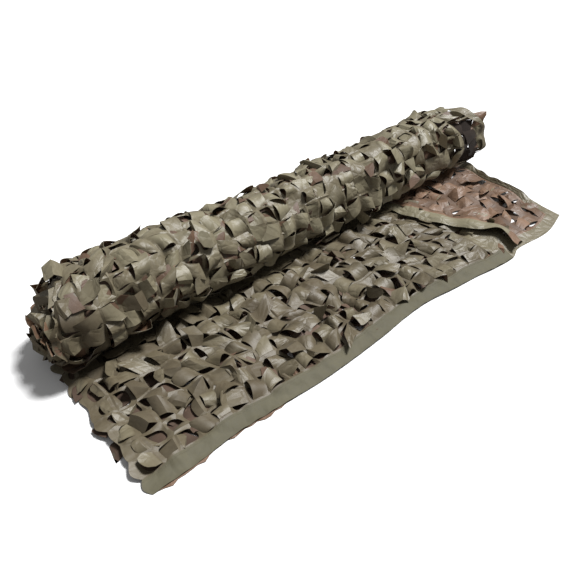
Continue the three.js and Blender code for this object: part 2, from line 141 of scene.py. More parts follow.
def linear(red, green, blue):
    """Linear colour of one given on a screen's scale, from 11 to 255."""
    shares = (value / 255 for value in (red, green, blue))
    return tuple(((share + 0.055) / 1.055) ** 2.4 for share in shares)


# ---------------------------------------------------------------- properties


class NetCloth(bpy.types.PropertyGroup):
    cell: FloatProperty(
        name="Cell", description="Pitch of the inner turns' slits", default=0.049, min=0.03, max=0.08,
        unit="LENGTH")
    tongue: FloatProperty(
        name="Tongue", description="Middle length of a tongue", default=0.060, min=0.02, max=0.09,
        unit="LENGTH")
    thickness: FloatProperty(
        name="Thickness", description="Thickness of the cloth", default=0.0008, min=0.0004, max=0.002,
        unit="LENGTH")
    seed: IntProperty(name="Seed", description="Changes how every tongue falls", default=4, min=0)


class NetColours(bpy.types.PropertyGroup):
    green: FloatVectorProperty(
        name="Green", description="Colour of the net's outer face", subtype="COLOR", size=3, min=0, max=1,
        default=linear(106, 98, 80))
    brown: FloatVectorProperty(
        name="Brown", description="Colour of the net's inner face", subtype="COLOR", size=3, min=0, max=1,
        default=linear(138, 108, 85))
    weave: FloatProperty(
        name="Weave", description="Distance between threads", default=0.0009, min=0.0004, max=0.004,
        unit="LENGTH")


class NetStage(bpy.types.PropertyGroup):
    sky: FloatProperty(name="Sky", description="Strength of the even light", default=0.24, min=0, max=5)
    lamp: FloatProperty(name="Lamp", description="Strength of the soft lamp", default=4.75, min=0, max=20)


# ---------------------------------------------------------------- curves and waves


def smooth(low, high, value):
    """From 0 below low to 1 above high, with soft ends."""
    share = np.clip((np.asarray(value, float) - low) / (high - low), 0, 1)
    return share * share * (3 - 2 * share)


def between(value, start, full, ebbing, end):
    """1 from full to ebbing, and 0 before start and past end."""
    return smooth(start, full, value) * (1 - smooth(ebbing, end, value))


def rounded(table, steps=8):
    """A polyline with each corner rounded, as a denser table through the same points."""
    points = np.array(table, float)
    before = np.vstack((2 * points[0] - points[1], points[:-1]))
    after = np.vstack((points[1:], 2 * points[-1] - points[-2]))
    slopes = (after - before) / 2
    out = []
    for k in range(len(points) - 1):
        for s in np.arange(steps) / steps:
            a, b = points[k], points[k + 1]
            out.append(
                (2 * s**3 - 3 * s**2 + 1) * a + (s**3 - 2 * s**2 + s) * slopes[k]
                + (3 * s**2 - 2 * s**3) * b + (s**3 - s**2) * slopes[k + 1])
    out.append(points[-1])
    return np.array(out)


def along(table, value):
    return np.interp(value, table[:, 0], table[:, 1])


def ripple(a, b, seed, longest=0.36, shortest=0.09):
    """A gentle wave over the cloth, from about -1 to 1."""
    rng = np.random.default_rng(seed)
    total = np.zeros(np.broadcast(a, b).shape)
    for k in range(5):
        length = longest * (shortest / longest) ** (k / 4)
        heading = rng.uniform(0, math.tau)
        phase = rng.uniform(0, math.tau)
        total += np.sin((a * math.cos(heading) + b * math.sin(heading)) * math.tau / length + phase)
    return total / 2.6


FRONT_LINE = rounded(FRONT_HEM)
RIM_LINE = rounded(OPEN_RIM)
FOLD_LINE, CURL_LINE, CURL_RISE, SIDE_LINE, SIDE_RISE = (
    rounded(tuple(zip(ROW_AT, values)))
    for values in (FOLD_AT_ROW, CURL_AT_ROW, CURL_SHARE, SIDE_AT_ROW, SIDE_LIFT)
)


def lengths_along(path):
    return np.concatenate(((0.0,), np.cumsum(np.hypot(*np.diff(path, axis=0).T))))


CURL_PATHS = [rounded(section) for section in (CURL_LAID, CURL_STANDING)]


def evenly(start, stop, count):
    return np.linspace(start, stop, count + 1)


LOOSE_ROWS_AT = np.concatenate(((0.0,), evenly(HEM, CREASE, 8), (CLOTH_STOP,)))

# ---------------------------------------------------------------- surfaces of the cloth


def girth(x):
    return along(np.array(GIRTH), x)


def spiral(x, turns, lift):
    """A point of the roll: turns counts from straight down, up the back and over to the front."""
    angle = turns * math.tau
    radius = (ROLL_RADIUS - TURN_PITCH * turns) * girth(x) + lift
    axis = (ROLL_RADIUS - ROLL_SINK) * girth(x)
    return np.stack((x, radius * np.sin(angle), np.maximum(axis - radius * np.cos(angle), 0.001)), axis=-1)


def free_share(turns):
    """None where the roll presses on the ground or on the loose end, all of it elsewhere."""
    return smooth(0.05, 0.22, (1 - np.cos(turns * math.tau)) / 2)


def roll_wave(x, turns):
    """How far the roll's cloth stands out of its spiral."""
    slow = 0.0045 * ripple(x, turns * 0.7, 11, 0.6, 0.16)
    raised = 0.012 * smooth(1.22, 1.45, x) * np.clip(-np.cos(turns * math.tau), 0, 1)
    return raised + free_share(turns) * (slow + 0.007 * ripple(x, turns * 0.7, 12, 0.17, 0.08))


def stretched(run, stretch):
    """A distance along the roll, stretched near the open end so that the cloth stops at its rim."""
    return np.where(run < STRAIGHT_UNTIL, run, STRAIGHT_UNTIL + (run - STRAIGHT_UNTIL) * stretch)


def crumpled_end(x, turns):
    """How far the folded end of the outermost turn is pushed along the roll, and out of it."""
    near = (1 - smooth(0.0, 0.085, x - FOLD_X)) * (0.3 + 0.7 * free_share(turns))
    slant = 0.052 * (1 - smooth(0.0, 0.17, x - FOLD_X)) * between(turns, *SLANT)
    along_roll = near * 0.011 * ripple(turns * 0.74, 0.0, 14, 0.16, 0.05) + slant
    return along_roll, near * (0.010 * ripple(x, turns * 0.74, 13, 0.11, 0.05) - 0.012)


def gaping(turns):
    """All of it where the hem stands off from the net at the open end."""
    return between(turns, GAPING[0] - 0.02, GAPING[0] + 0.03, GAPING[1] - 0.06, GAPING[1])


def outermost_turn(across, turns):
    """The green ply of the outermost turn, from the fold to its hem at the open end."""
    rim = along(RIM_LINE, turns)
    x = stretched(across, (rim - STRAIGHT_UNTIL) / (WIDTH - STRAIGHT_UNTIL + FOLD_X))
    lift = -CLOTH_SINK + roll_wave(x, turns)
    lift = lift - 0.005 * smooth(rim - 0.035, rim + 0.01, x)
    pushed, dented = crumpled_end(x, turns)
    return spiral(x + pushed, turns, lift + dented)


def under_turn(across, turns):
    """The brown ply under it: across counts from the fold, which is a half round at first."""
    angle = np.clip(across / FOLD_BEND, 0, 1) * math.pi
    turned_out = np.exp(-(((turns - 0.60) / 0.024) ** 2))
    rim = along(RIM_LINE, turns) - 0.001 + 0.008 * gaping(turns) + 0.032 * turned_out
    rim = rim + 0.014 * between(turns, 0.77, 0.82, 0.88, 0.94)
    run = np.maximum(across - FOLD_BEND, 0)
    stretch = (rim - STRAIGHT_UNTIL - FOLD_X) / (WIDTH - STRAIGHT_UNTIL)
    x = FOLD_X - PLY_GAP / 2 * np.sin(angle) + stretched(run, stretch)
    lift = -CLOTH_SINK + roll_wave(x, turns) - PLY_GAP / 2 * (1 - np.cos(angle))
    fallen = smooth(1.39, 1.47, x) * gaping(turns)
    pushed, dented = crumpled_end(x, turns)
    lift = lift + dented - 0.006 * fallen + 0.016 * turned_out * smooth(rim - 0.07, rim, x)
    lift = lift + 0.011 * smooth(1.35, 1.48, x) * between(turns, 0.74, 0.80, 0.92, 0.96)
    return spiral(x + pushed, turns, lift)


def front_row(x, ahead):
    """Y of the loose end at a distance ahead of its front hem."""
    front = along(FRONT_LINE, x)
    field = front + HEM + (CREASE_Y - front - HEM) * (ahead - HEM) / (CREASE - HEM)
    under = CREASE_Y + (ahead - CREASE) * (-0.0003 - CREASE_Y) / (CLOTH_STOP - CREASE)
    return np.where(ahead < HEM, front + ahead, np.where(ahead < CREASE, field, under))


def upper_ply(across, ahead):
    """The green ply of the loose end.

    Across is 0 at the fold, 1 where the curl starts, and metres past that.
    """
    fold = along(FOLD_LINE, ahead)
    curl = along(CURL_LINE, ahead)
    share = along(CURL_RISE, ahead)
    past = np.clip((across - 1) / CURL_LENGTH, 0, 1)
    standing = 1 - smooth(0.06, 0.16, ahead)
    out, up = 0, 0
    for path, weight in zip(CURL_PATHS, (1 - standing, standing)):
        lengths = lengths_along(path)
        out = out + weight * np.interp(past * lengths[-1], lengths, path[:, 0])
        up = up + weight * np.interp(past * lengths[-1], lengths, path[:, 1])
    x = fold + (curl - fold) * np.clip(across, 0, 1) + out * (0.4 + 0.6 * share)
    y = front_row(x, ahead) + 0.006 * np.sin(past * 4) * smooth(0.0, 0.1, ahead)
    wave = 0.5 + 0.5 * ripple(x, y, 21, 0.40, 0.10)
    lumps = 0.5 + 0.5 * ripple(x, y, 22, 0.15, 0.07)
    z = 0.0075 + between(ahead, 0.0, 0.05, 0.36, 0.44) * (0.009 * wave + 0.010 * lumps)
    z = z - 0.002 * (1 - smooth(0.0, 0.04, ahead)) + up * share
    puckers = 0.0016 * ripple(x, ahead, 25, 0.08, 0.03)
    z = z + puckers * (1 - smooth(0.03, 0.06, ahead)) * smooth(0.01, 0.03, across)
    at_fold = 1 - smooth(0.0, 0.02, across)
    lobes = np.abs(np.sin(math.pi * (ahead - HEM) / LOBE)) * (0.6 + 0.4 * ripple(ahead, 0.0, 24, 0.2, 0.09))
    x = x - at_fold * (0.014 * lobes + 0.007 * ripple(ahead, 0.0, 23, 0.13, 0.05))
    return np.stack((x, y, z - 0.004 * at_fold), axis=-1)


def lower_ply(across, ahead):
    """The brown ply of the loose end. Across counts in metres from its side edge to the fold."""
    side = along(SIDE_LINE, ahead)
    fold = along(FOLD_LINE, ahead) + 0.004
    lift = along(SIDE_RISE, ahead)
    drawn_in = HEM * 0.72 * lift * np.clip(across / HEM, 0, 1) * (1 - smooth(0.1, 0.6, across))
    x = side + (fold - side) * (across - drawn_in) / WIDTH
    y = front_row(x, ahead)
    behind_hem = 1 - smooth(0.0, 0.03, ahead)
    shows = smooth(1.12, 1.20, across) * behind_hem
    y = y - shows * (0.002 + 0.005 * np.sin(x * 110) * np.sin(x * 37 + 1) + 0.002 * np.sin(x * 411))
    y = y + 0.004 * between(across, 0.35, 0.45, 1.12, 1.20) * behind_hem
    hidden = smooth(0.28, 0.42, across)
    edge = np.clip(1 - across / HEM, 0, 1)
    wave = 0.5 + 0.5 * ripple(x, y, 31, 0.30, 0.08)
    z = 0.0015 + (1 - hidden) * 0.011 * wave * smooth(0.0, 0.06, ahead)
    z = z + 0.017 * lift * edge * (1 + 0.3 * ripple(x, ahead, 33, 0.2, 0.06)) + 0.0008 * hidden * wave
    return np.stack((x, y, z), axis=-1)


def inner_turns(outside):
    """A ply of the turns inside the roll. Across counts from the fold."""
    sink = CLOTH_SINK if outside else CLOTH_SINK + PLY_GAP

    def surface(across, turns):
        wobble = 0.006 * np.sin(turns * 9.0 + 1.0) + 0.004 * np.sin(turns * 23.0)
        slant = 0.050 * between(turns % 1, *SLANT) * (1 - across / WIDTH)
        x = FOLD_X + 0.004 + wobble + slant + across * (1.41 + wobble - FOLD_X) / WIDTH
        return spiral(x, turns, 0.0022 * ripple(x, turns * 0.6, 41, 0.3, 0.1) - sink)

    return surface


# ---------------------------------------------------------------- slit cloth


def unit(vectors):
    """The same directions, each with a length of 1."""
    return vectors / np.maximum(np.linalg.norm(vectors, axis=-1, keepdims=True), 1e-12)


class Cloth:
    """One layer of cloth: points, UVs in metres, a tone for each point, and quads marked as hem or not."""

    def __init__(self, surface, outward, metric=(1.0, 1.0)):
        self.surface = surface
        self.outward = outward
        self.metric = np.array(metric)  # metres of cloth for a step of each of the surface's two counts
        self.points, self.uvs, self.tones, self.quads, self.hems = [], [], [], [], []
        self.count = 0

    def at(self, where):
        return self.surface(where[..., 0], where[..., 1])

    def add(self, points, uvs, tones, quads, hem=False):
        quads = np.asarray(quads) + self.count
        self.points.append(points.reshape(-1, 3))
        self.uvs.append(uvs.reshape(-1, 2))
        self.tones.append(tones.reshape(-1))
        self.quads.append(quads.reshape(-1, 4))
        self.hems.append(np.full(quads.size // 4, hem))
        self.count += points.size // 3

    def take(self, other):
        """Adds all of another cloth."""
        self.quads += [quads + self.count for quads in other.quads]
        self.hems += other.hems
        self.points += other.points
        self.uvs += other.uvs
        self.tones += other.tones
        self.count += other.count

    def plain(self, cells, steps, tone=0.5, hem=False):
        """Adds cells with no slit."""
        corners = flat_cells(cells)
        if not len(corners):
            return
        side = steps + 1
        run = np.arange(side) / steps
        a, b = np.meshgrid(run, run)
        where = spots(corners, a.ravel(), b.ravel())
        quads = corners_of(np.arange(side * side).reshape(side, side)).reshape(-1, 4)
        quads = quads[None] + (np.arange(len(corners)) * side * side)[:, None, None]
        self.add(self.at(where), where * self.metric, np.full(where.shape[:2], tone), quads, hem)

    def frames(self, where):
        """Directions along the lattice and out of the cloth, at some places."""
        step = 1e-4
        sides = []
        for axis in (0, 1):
            shift = np.zeros(2)
            shift[axis] = step
            sides.append(unit(self.at(where + shift) - self.at(where - shift)))
        return sides[0], sides[1], unit(np.cross(*sides) * self.outward)


def lattice(across, ahead, sway, rng):
    """Nodes of the slit pattern, moved off their straight lines except round the border."""
    a, b = np.meshgrid(across, ahead)
    free = np.zeros(a.shape)
    free[1:-1, 1:-1] = 1
    shifts = [rng.uniform(-1, 1, a.shape) * free * most for most in sway]
    return np.stack((a + shifts[0], b + shifts[1]), axis=-1)


def corners_of(grid):
    """The four nodes of each cell of a grid."""
    return np.stack((grid[:-1, :-1], grid[:-1, 1:], grid[1:, 1:], grid[1:, :-1]), axis=2)


def flat_cells(grid):
    """Rows and columns of cells as one list."""
    return grid.reshape(-1, 4, 2)


def within(corners, a, b):
    """Places inside cells, from 0 to 1 along their sides."""
    weights = np.stack(((1 - a) * (1 - b), a * (1 - b), a * b, (1 - a) * b), axis=-1)
    return np.einsum("nkc,ncd->nkd", weights, corners)


def spots(corners, a, b):
    """The same places inside every cell."""
    count = len(corners)
    return within(corners, np.array([a], float).repeat(count, 0), np.array([b], float).repeat(count, 0))


def ring_marks(steps):
    """Places round the border of a cell, from its first corner."""
    run = np.arange(steps) / steps
    a = np.concatenate((run, np.ones(steps), 1 - run, np.zeros(steps)))
    return a, np.roll(a, steps)


class Manner:
    """How the tongues of a cloth fall, one row of numbers for each cell."""

    ANGLES = ("lean", "rise", "bend", "twist", "fold", "fold_turn")

    def __init__(
            self, count, rng, tongue, sides=None, ease=None,
            hug=0.0, leafy=0.3, bridges=0.13, turned_up=0.03):
        def spread(low, high):
            return rng.uniform(low, high, count)

        def degrees(low, high):
            return np.radians(spread(low, high))

        self.rng = rng
        self.side = rng.integers(0, 4, count) if sides is None else sides
        self.lean = degrees(-26, 26)
        self.length = spread(0.84, 1.16) * tongue
        self.tip = spread(0.037, 0.050)
        self.rise = degrees(12, 46)
        self.bend = degrees(-70, -5)
        self.twist = degrees(-34, 34)
        self.cup = spread(-0.005, 0.005)
        self.skew = spread(-0.13, 0.13)
        self.round = np.where(spread(0, 1) < leafy, spread(0.25, 0.45), spread(0.02, 0.08))
        self.fold = degrees(-80, -10)
        self.fold_turn = degrees(-42, 42)
        self.fold_at = spread(0.35, 0.8)
        kind = spread(0, 1)
        self.recast(kind < 0.26, rise=degrees(42, 76), bend=degrees(-150, -85), fold=degrees(-25, 0))
        self.recast((kind > 0.26) & (kind < 0.38), rise=degrees(50, 82), bend=degrees(-40, 0),
                    fold=degrees(-110, -60), fold_at=spread(0.3, 0.55))
        self.recast((kind > 0.38) & (kind < 0.38 + turned_up), rise=degrees(4, 20), bend=degrees(-14, 6),
                    fold=degrees(40, 105), fold_at=spread(0.6, 0.85))
        self.recast((kind > 0.47) & (kind < 0.54), rise=degrees(-26, -14), bend=degrees(0, 18),
                    fold=degrees(-10, 10))
        self.bridge = kind > 1 - bridges
        self.arch = spread(0.006, 0.017)
        ease = np.ones(count) if ease is None else ease
        for name in ("rise", "bend", "fold", "twist", "cup", "arch"):
            setattr(self, name, getattr(self, name) * (0.25 + 0.75 * ease))
        self.bend = self.bend - hug * (self.side % 2 == 0)
        self.root_lift = 0.0018 * ease
        self.far_sink = 0.0035 * ease
        self.tone = spread(0, 1)
        self.ground = np.full(count, 0.5)
        self.low = spread(0.07, 0.13)
        self.high = spread(0.87, 0.93)
        self.far = self.high.copy()

    def recast(self, chosen, **values):
        """Gives the chosen cells other values."""
        for name, value in values.items():
            getattr(self, name)[chosen] = np.broadcast_to(value, chosen.shape)[chosen]

    def draw(self, chosen, **ranges):
        """Draws new values for the chosen cells, angles in degrees."""
        for name, (low, high) in ranges.items():
            values = self.rng.uniform(low, high, chosen.sum())
            getattr(self, name)[chosen] = np.radians(values) if name in self.ANGLES else values

    def scale(self, chosen, **shares):
        """Makes values of the chosen cells larger or smaller."""
        for name, share in shares.items():
            getattr(self, name)[chosen] *= share


def slit_cells(cloth, cells, manner, steps, rows):
    """Cells with a slit on three sides and the tongue that hangs on the fourth."""
    count = len(cells)
    side = steps + 1
    turned = (np.arange(4)[None, :] + manner.side[:, None]) % 4
    corners = np.take_along_axis(cells, turned[..., None], axis=1)
    ring_a, ring_b = ring_marks(steps)
    around = len(ring_a)
    outer = spots(corners, ring_a, ring_b)
    low, high, farthest = manner.low[:, None], manner.high[:, None], manner.far[:, None]
    a = low + (high - low) * ring_a
    b = low + (farthest - low) * ring_b
    radius = np.clip(0.10 + manner.round[:, None] * 0.5, 0.1, 0.32)
    far = b > farthest - radius
    for edge, way in ((high - radius, 1), (low + radius, -1)):
        corner = far & ((a - edge) * way > 0)
        da, db = a - edge, b - (farthest - radius)
        shrink = radius / np.maximum(np.hypot(da, db), 1e-9)
        a = np.where(corner, edge + da * shrink, a)
        b = np.where(corner, farthest - radius + db * shrink, b)
    inner = within(corners, a, b)
    out = cloth.frames(spots(corners, (0.5,), (0.5,)))[2]
    falls = np.concatenate((np.ones(side), np.linspace(1, -1, side)[1:],
                            -np.ones(steps - 1), np.linspace(-1, 1, side)[:-1]))
    height = np.where(falls > 0, falls * manner.root_lift[:, None], falls * manner.far_sink[:, None])
    inner_points = cloth.at(inner) + out * height[..., None]

    # Directions from the root to the far side and along the root, in the plane of the cloth.
    ends = cloth.at(spots(corners, (0.5, 0.5, 0.0, 1.0), (0.0, 1.0, 0.5, 0.5)))
    flat_out = out[:, 0]
    onward = ends[:, 1] - ends[:, 0]
    onward = unit(onward - flat_out * np.sum(onward * flat_out, axis=1, keepdims=True))
    aside = ends[:, 3] - ends[:, 2]
    aside -= flat_out * np.sum(aside * flat_out, axis=1, keepdims=True)
    aside = unit(aside - onward * np.sum(aside * onward, axis=1, keepdims=True))
    lean = manner.lean[:, None]
    heading = np.cos(lean) * onward + np.sin(lean) * aside

    # The tongue laid flat: along its root, onward from it, and out of the cloth.
    marks = np.linspace(-1, 1, side)
    share = np.arange(1, rows + 1) / rows
    length = manner.length[:, None]
    reach = length * (
        1 + manner.skew[:, None] * marks - manner.round[:, None] * (1 - (1 - np.abs(marks) ** 3.4) ** 0.5))
    root = inner_points[:, :side]
    far = inner_points[:, 2 * steps:3 * steps + 1][:, ::-1]
    width = np.linalg.norm(root[:, -1] - root[:, 0], axis=1)[:, None]
    half = (width + (manner.tip[:, None] - width) * smooth(0, 0.6, share)[None]) / 2
    flat_aside = half[..., None] * marks
    fold, fold_turn, twist, rise, arch, cup = (
        getattr(manner, name)[:, None, None]
        for name in ("fold", "fold_turn", "twist", "rise", "arch", "cup"))
    folds_at = (manner.fold_at * manner.length)[:, None, None]
    middle_row = rows // 2
    on_fold = np.clip(
        folds_at[:, 0] - flat_aside[:, middle_row] * np.tan(fold_turn[:, 0]), 0.12 * reach, 0.9 * reach)
    place = share[None, :, None] * rows / middle_row
    flat_onward = np.where(
        place <= 1, on_fold[:, None] * place,
        on_fold[:, None] + (reach - on_fold)[:, None] * (place - 1) * middle_row / (rows - middle_row))
    raised = cup * (marks**2 - 0.4)[None, None] * share[None, :, None]

    # One straight fold across it, a twist along it, and a bend from its root to its tip.
    past = np.maximum(flat_aside * np.sin(fold_turn) + (flat_onward - folds_at) * np.cos(fold_turn), 0)
    flat_aside = flat_aside - past * (1 - np.cos(fold)) * np.sin(fold_turn)
    flat_onward = flat_onward - past * (1 - np.cos(fold)) * np.cos(fold_turn)
    raised = raised + past * np.sin(fold)
    bent = np.where(np.abs(manner.bend) < 0.02, 0.02, manner.bend)[:, None, None]
    along_it = flat_onward / length[..., None]
    turn = twist * along_it
    swung = flat_aside * np.cos(turn) - raised * np.sin(turn)
    raised = flat_aside * np.sin(turn) + raised * np.cos(turn)
    angle = rise + bent * along_it
    run = length[..., None] * (np.sin(angle) - np.sin(rise)) / bent
    climb = length[..., None] * (np.cos(rise) - np.cos(angle)) / bent
    points = (
        root[:, None]
        + aside[:, None, None] * (swung - width[..., None] * marks / 2)[..., None]
        + heading[:, None, None] * (run - raised * np.sin(angle))[..., None]
        + flat_out[:, None, None] * (climb + raised * np.cos(angle))[..., None]
    )

    # A bridge is held at both ends and stands up between them.
    along_it = share[None, :, None, None]
    humped = np.sin(math.pi * share)[None, :, None]
    bridges = (
        root[:, None] * (1 - along_it) + far[:, None] * along_it
        + flat_out[:, None, None] * (humped**0.8 * (arch + flat_aside * np.sin(twist)))[..., None]
        - aside[:, None, None] * (humped * 0.12 * flat_aside)[..., None]
    )
    points = np.where(manner.bridge[:, None, None, None], bridges, points)

    # UVs go on past the root in a straight line, as the tongue was cut from the cloth.
    root_to_far = spots(corners, (0.5, 0.5), (0.0, 1.0)) * cloth.metric
    way = unit(root_to_far[:, 1] - root_to_far[:, 0])
    flat = (inner[:, :side] * cloth.metric)[:, None] + way[:, None, None] * (
        share[None, :, None] * reach[:, None])[..., None]

    border = np.concatenate((outer, inner), axis=1) * cloth.metric
    all_points = np.concatenate((cloth.at(outer), inner_points, points.reshape(count, -1, 3)), axis=1)
    all_uvs = np.concatenate((border, flat.reshape(count, -1, 2)), axis=1)
    tones = np.concatenate((manner.ground[:, None].repeat(2 * around, 1),
                            manner.tone[:, None].repeat(rows * side, 1)), axis=1)
    k = np.arange(around)
    following = (k + 1) % around
    ring = np.stack((k, following, around + following, around + k), axis=-1)
    grid = np.concatenate((around + np.arange(side), 2 * around + np.arange(rows * side)))
    tongue = corners_of(grid.reshape(rows + 1, side)).reshape(-1, 4)
    each = 2 * around + rows * side
    quads = np.concatenate((ring, tongue))[None] + (np.arange(count) * each)[:, None, None]
    cloth.add(all_points, all_uvs, tones, quads)


def welded(points):
    """One point for all that lie in the same place, and the number that each then has."""
    keys = np.round(points * WELDS_IN_METRE).astype(np.int64)
    _, first, group = np.unique(keys, axis=0, return_index=True, return_inverse=True)
    return first, group.reshape(-1)


def added(name, data):
    """A new object in the scene."""
    item = bpy.data.objects.new(name, data)
    bpy.context.collection.objects.link(item)
    return item


def softened(mesh, sharp_from):
    """Smooth shading, with edges that stay sharp from an angle in degrees."""
    mesh.shade_smooth()
    mesh.set_sharp_from_angle(angle=math.radians(sharp_from))


def cloth_mesh(name, cloth, context, faces=(GREEN, BROWN), hem_faces=(GREEN, GREEN)):
    """The cloth as a closed shell: its outer face, its inner face, and its cut edges."""
    points = np.concatenate(cloth.points)
    first, group = welded(points)
    points = points[first]
    uvs = np.concatenate(cloth.uvs)[first]
    tones = np.concatenate(cloth.tones)[first]
    quads = group[np.concatenate(cloth.quads)]
    hems = np.concatenate(cloth.hems)
    whole = np.array([len(set(quad)) == 4 for quad in quads.tolist()])
    quads, hems = quads[whole], hems[whole]
    if cloth.outward < 0:
        quads = quads[:, ::-1]
    corner = points[quads]
    area = np.cross(corner[:, 2] - corner[:, 0], corner[:, 3] - corner[:, 1])
    normals = np.zeros(points.shape)
    for k in range(4):
        np.add.at(normals, quads[:, k], area)
    aside = unit(normals) * context.scene.net_cloth.thickness / 2
    count = len(points)
    edges = np.stack((quads, np.roll(quads, -1, axis=1)), axis=-1).reshape(-1, 2)
    owner = np.repeat(np.arange(len(quads)), 4)
    code = edges[:, 0] * count + edges[:, 1]
    mirror = edges[:, 1] * count + edges[:, 0]
    open_edges = ~np.isin(code, mirror)
    a, b = edges[open_edges].T
    rim = np.stack((b, a, a + count, b + count), axis=-1)
    all_quads = np.concatenate((quads, quads[:, ::-1] + count, rim))
    all_points = np.concatenate((points + aside, points - aside))
    over = all_points[:, 2] - PRESSED_ABOVE
    pressed = PRESSED_ABOVE + over * PRESSED_SHARE
    all_points[:, 2] = np.where(over > 0, pressed, np.maximum(all_points[:, 2], LOWEST))
    all_points += ORIGIN
    sides = ((hems, 0), (hems, 1), (hems[owner[open_edges]], 0))
    marks = np.concatenate([np.where(hem, hem_faces[face], faces[face]) for hem, face in sides])
    mesh = bpy.data.meshes.new(name)
    mesh.vertices.add(len(all_points))
    mesh.vertices.foreach_set("co", all_points.astype(np.float32).ravel())
    mesh.loops.add(all_quads.size)
    mesh.loops.foreach_set("vertex_index", all_quads.astype(np.int32).ravel())
    mesh.polygons.add(len(all_quads))
    mesh.polygons.foreach_set("loop_start", np.arange(0, all_quads.size, 4, dtype=np.int32))
    mesh.polygons.foreach_set("material_index", marks.astype(np.int32))
    layer = mesh.uv_layers.new(name="Cloth")
    both = np.concatenate((uvs, uvs))
    layer.data.foreach_set("uv", both[all_quads.ravel()].astype(np.float32).ravel())
    tone = mesh.attributes.new("tone", "FLOAT", "POINT")
    tone.data.foreach_set("value", np.concatenate((tones, tones)).astype(np.float32))
    for material in net_materials(context):
        mesh.materials.append(material)
    mesh.update(calc_edges=True)
    mesh.validate()
    softened(mesh, sharp_from=27)
    return added(name, mesh)


# ---------------------------------------------------------------- materials


def filled(item, **inputs):
    """A node with some of its inputs set; an underscore stands for a space in a name."""
    for name, value in inputs.items():
        item.inputs[name.replace("_", " ")].default_value = value
    return item


def node(tree, kind, place, **inputs):
    """A new node at a place in its tree, with some of its inputs set."""
    new = tree.nodes.new(kind)
    new.location = place
    return filled(new, **inputs)


def set_or_linked(tree, sockets, values):
    """Gives each socket its value, or a link from it. None leaves a socket as it is."""
    for socket, value in zip(sockets, values):
        if isinstance(value, bpy.types.NodeSocket):
            tree.links.new(value, socket)
        elif value is not None:
            socket.default_value = value


def mathematics(tree, operation, place, *values):
    new = node(tree, "ShaderNodeMath", place)
    new.operation = operation
    set_or_linked(tree, new.inputs, values)
    return new.outputs[0]


def mixed(tree, place, share, first, second, blend="MIX"):
    new = node(tree, "ShaderNodeMix", place)
    new.data_type = "RGBA"
    new.blend_type = blend
    set_or_linked(tree, (new.inputs[0], new.inputs[6], new.inputs[7]), (share, first, second))
    return new.outputs[2]


def started(name):
    """A new material, its node tree and its shader."""
    material = bpy.data.materials.new(name)
    material.use_nodes = True
    return material, material.node_tree, material.node_tree.nodes["Principled BSDF"]


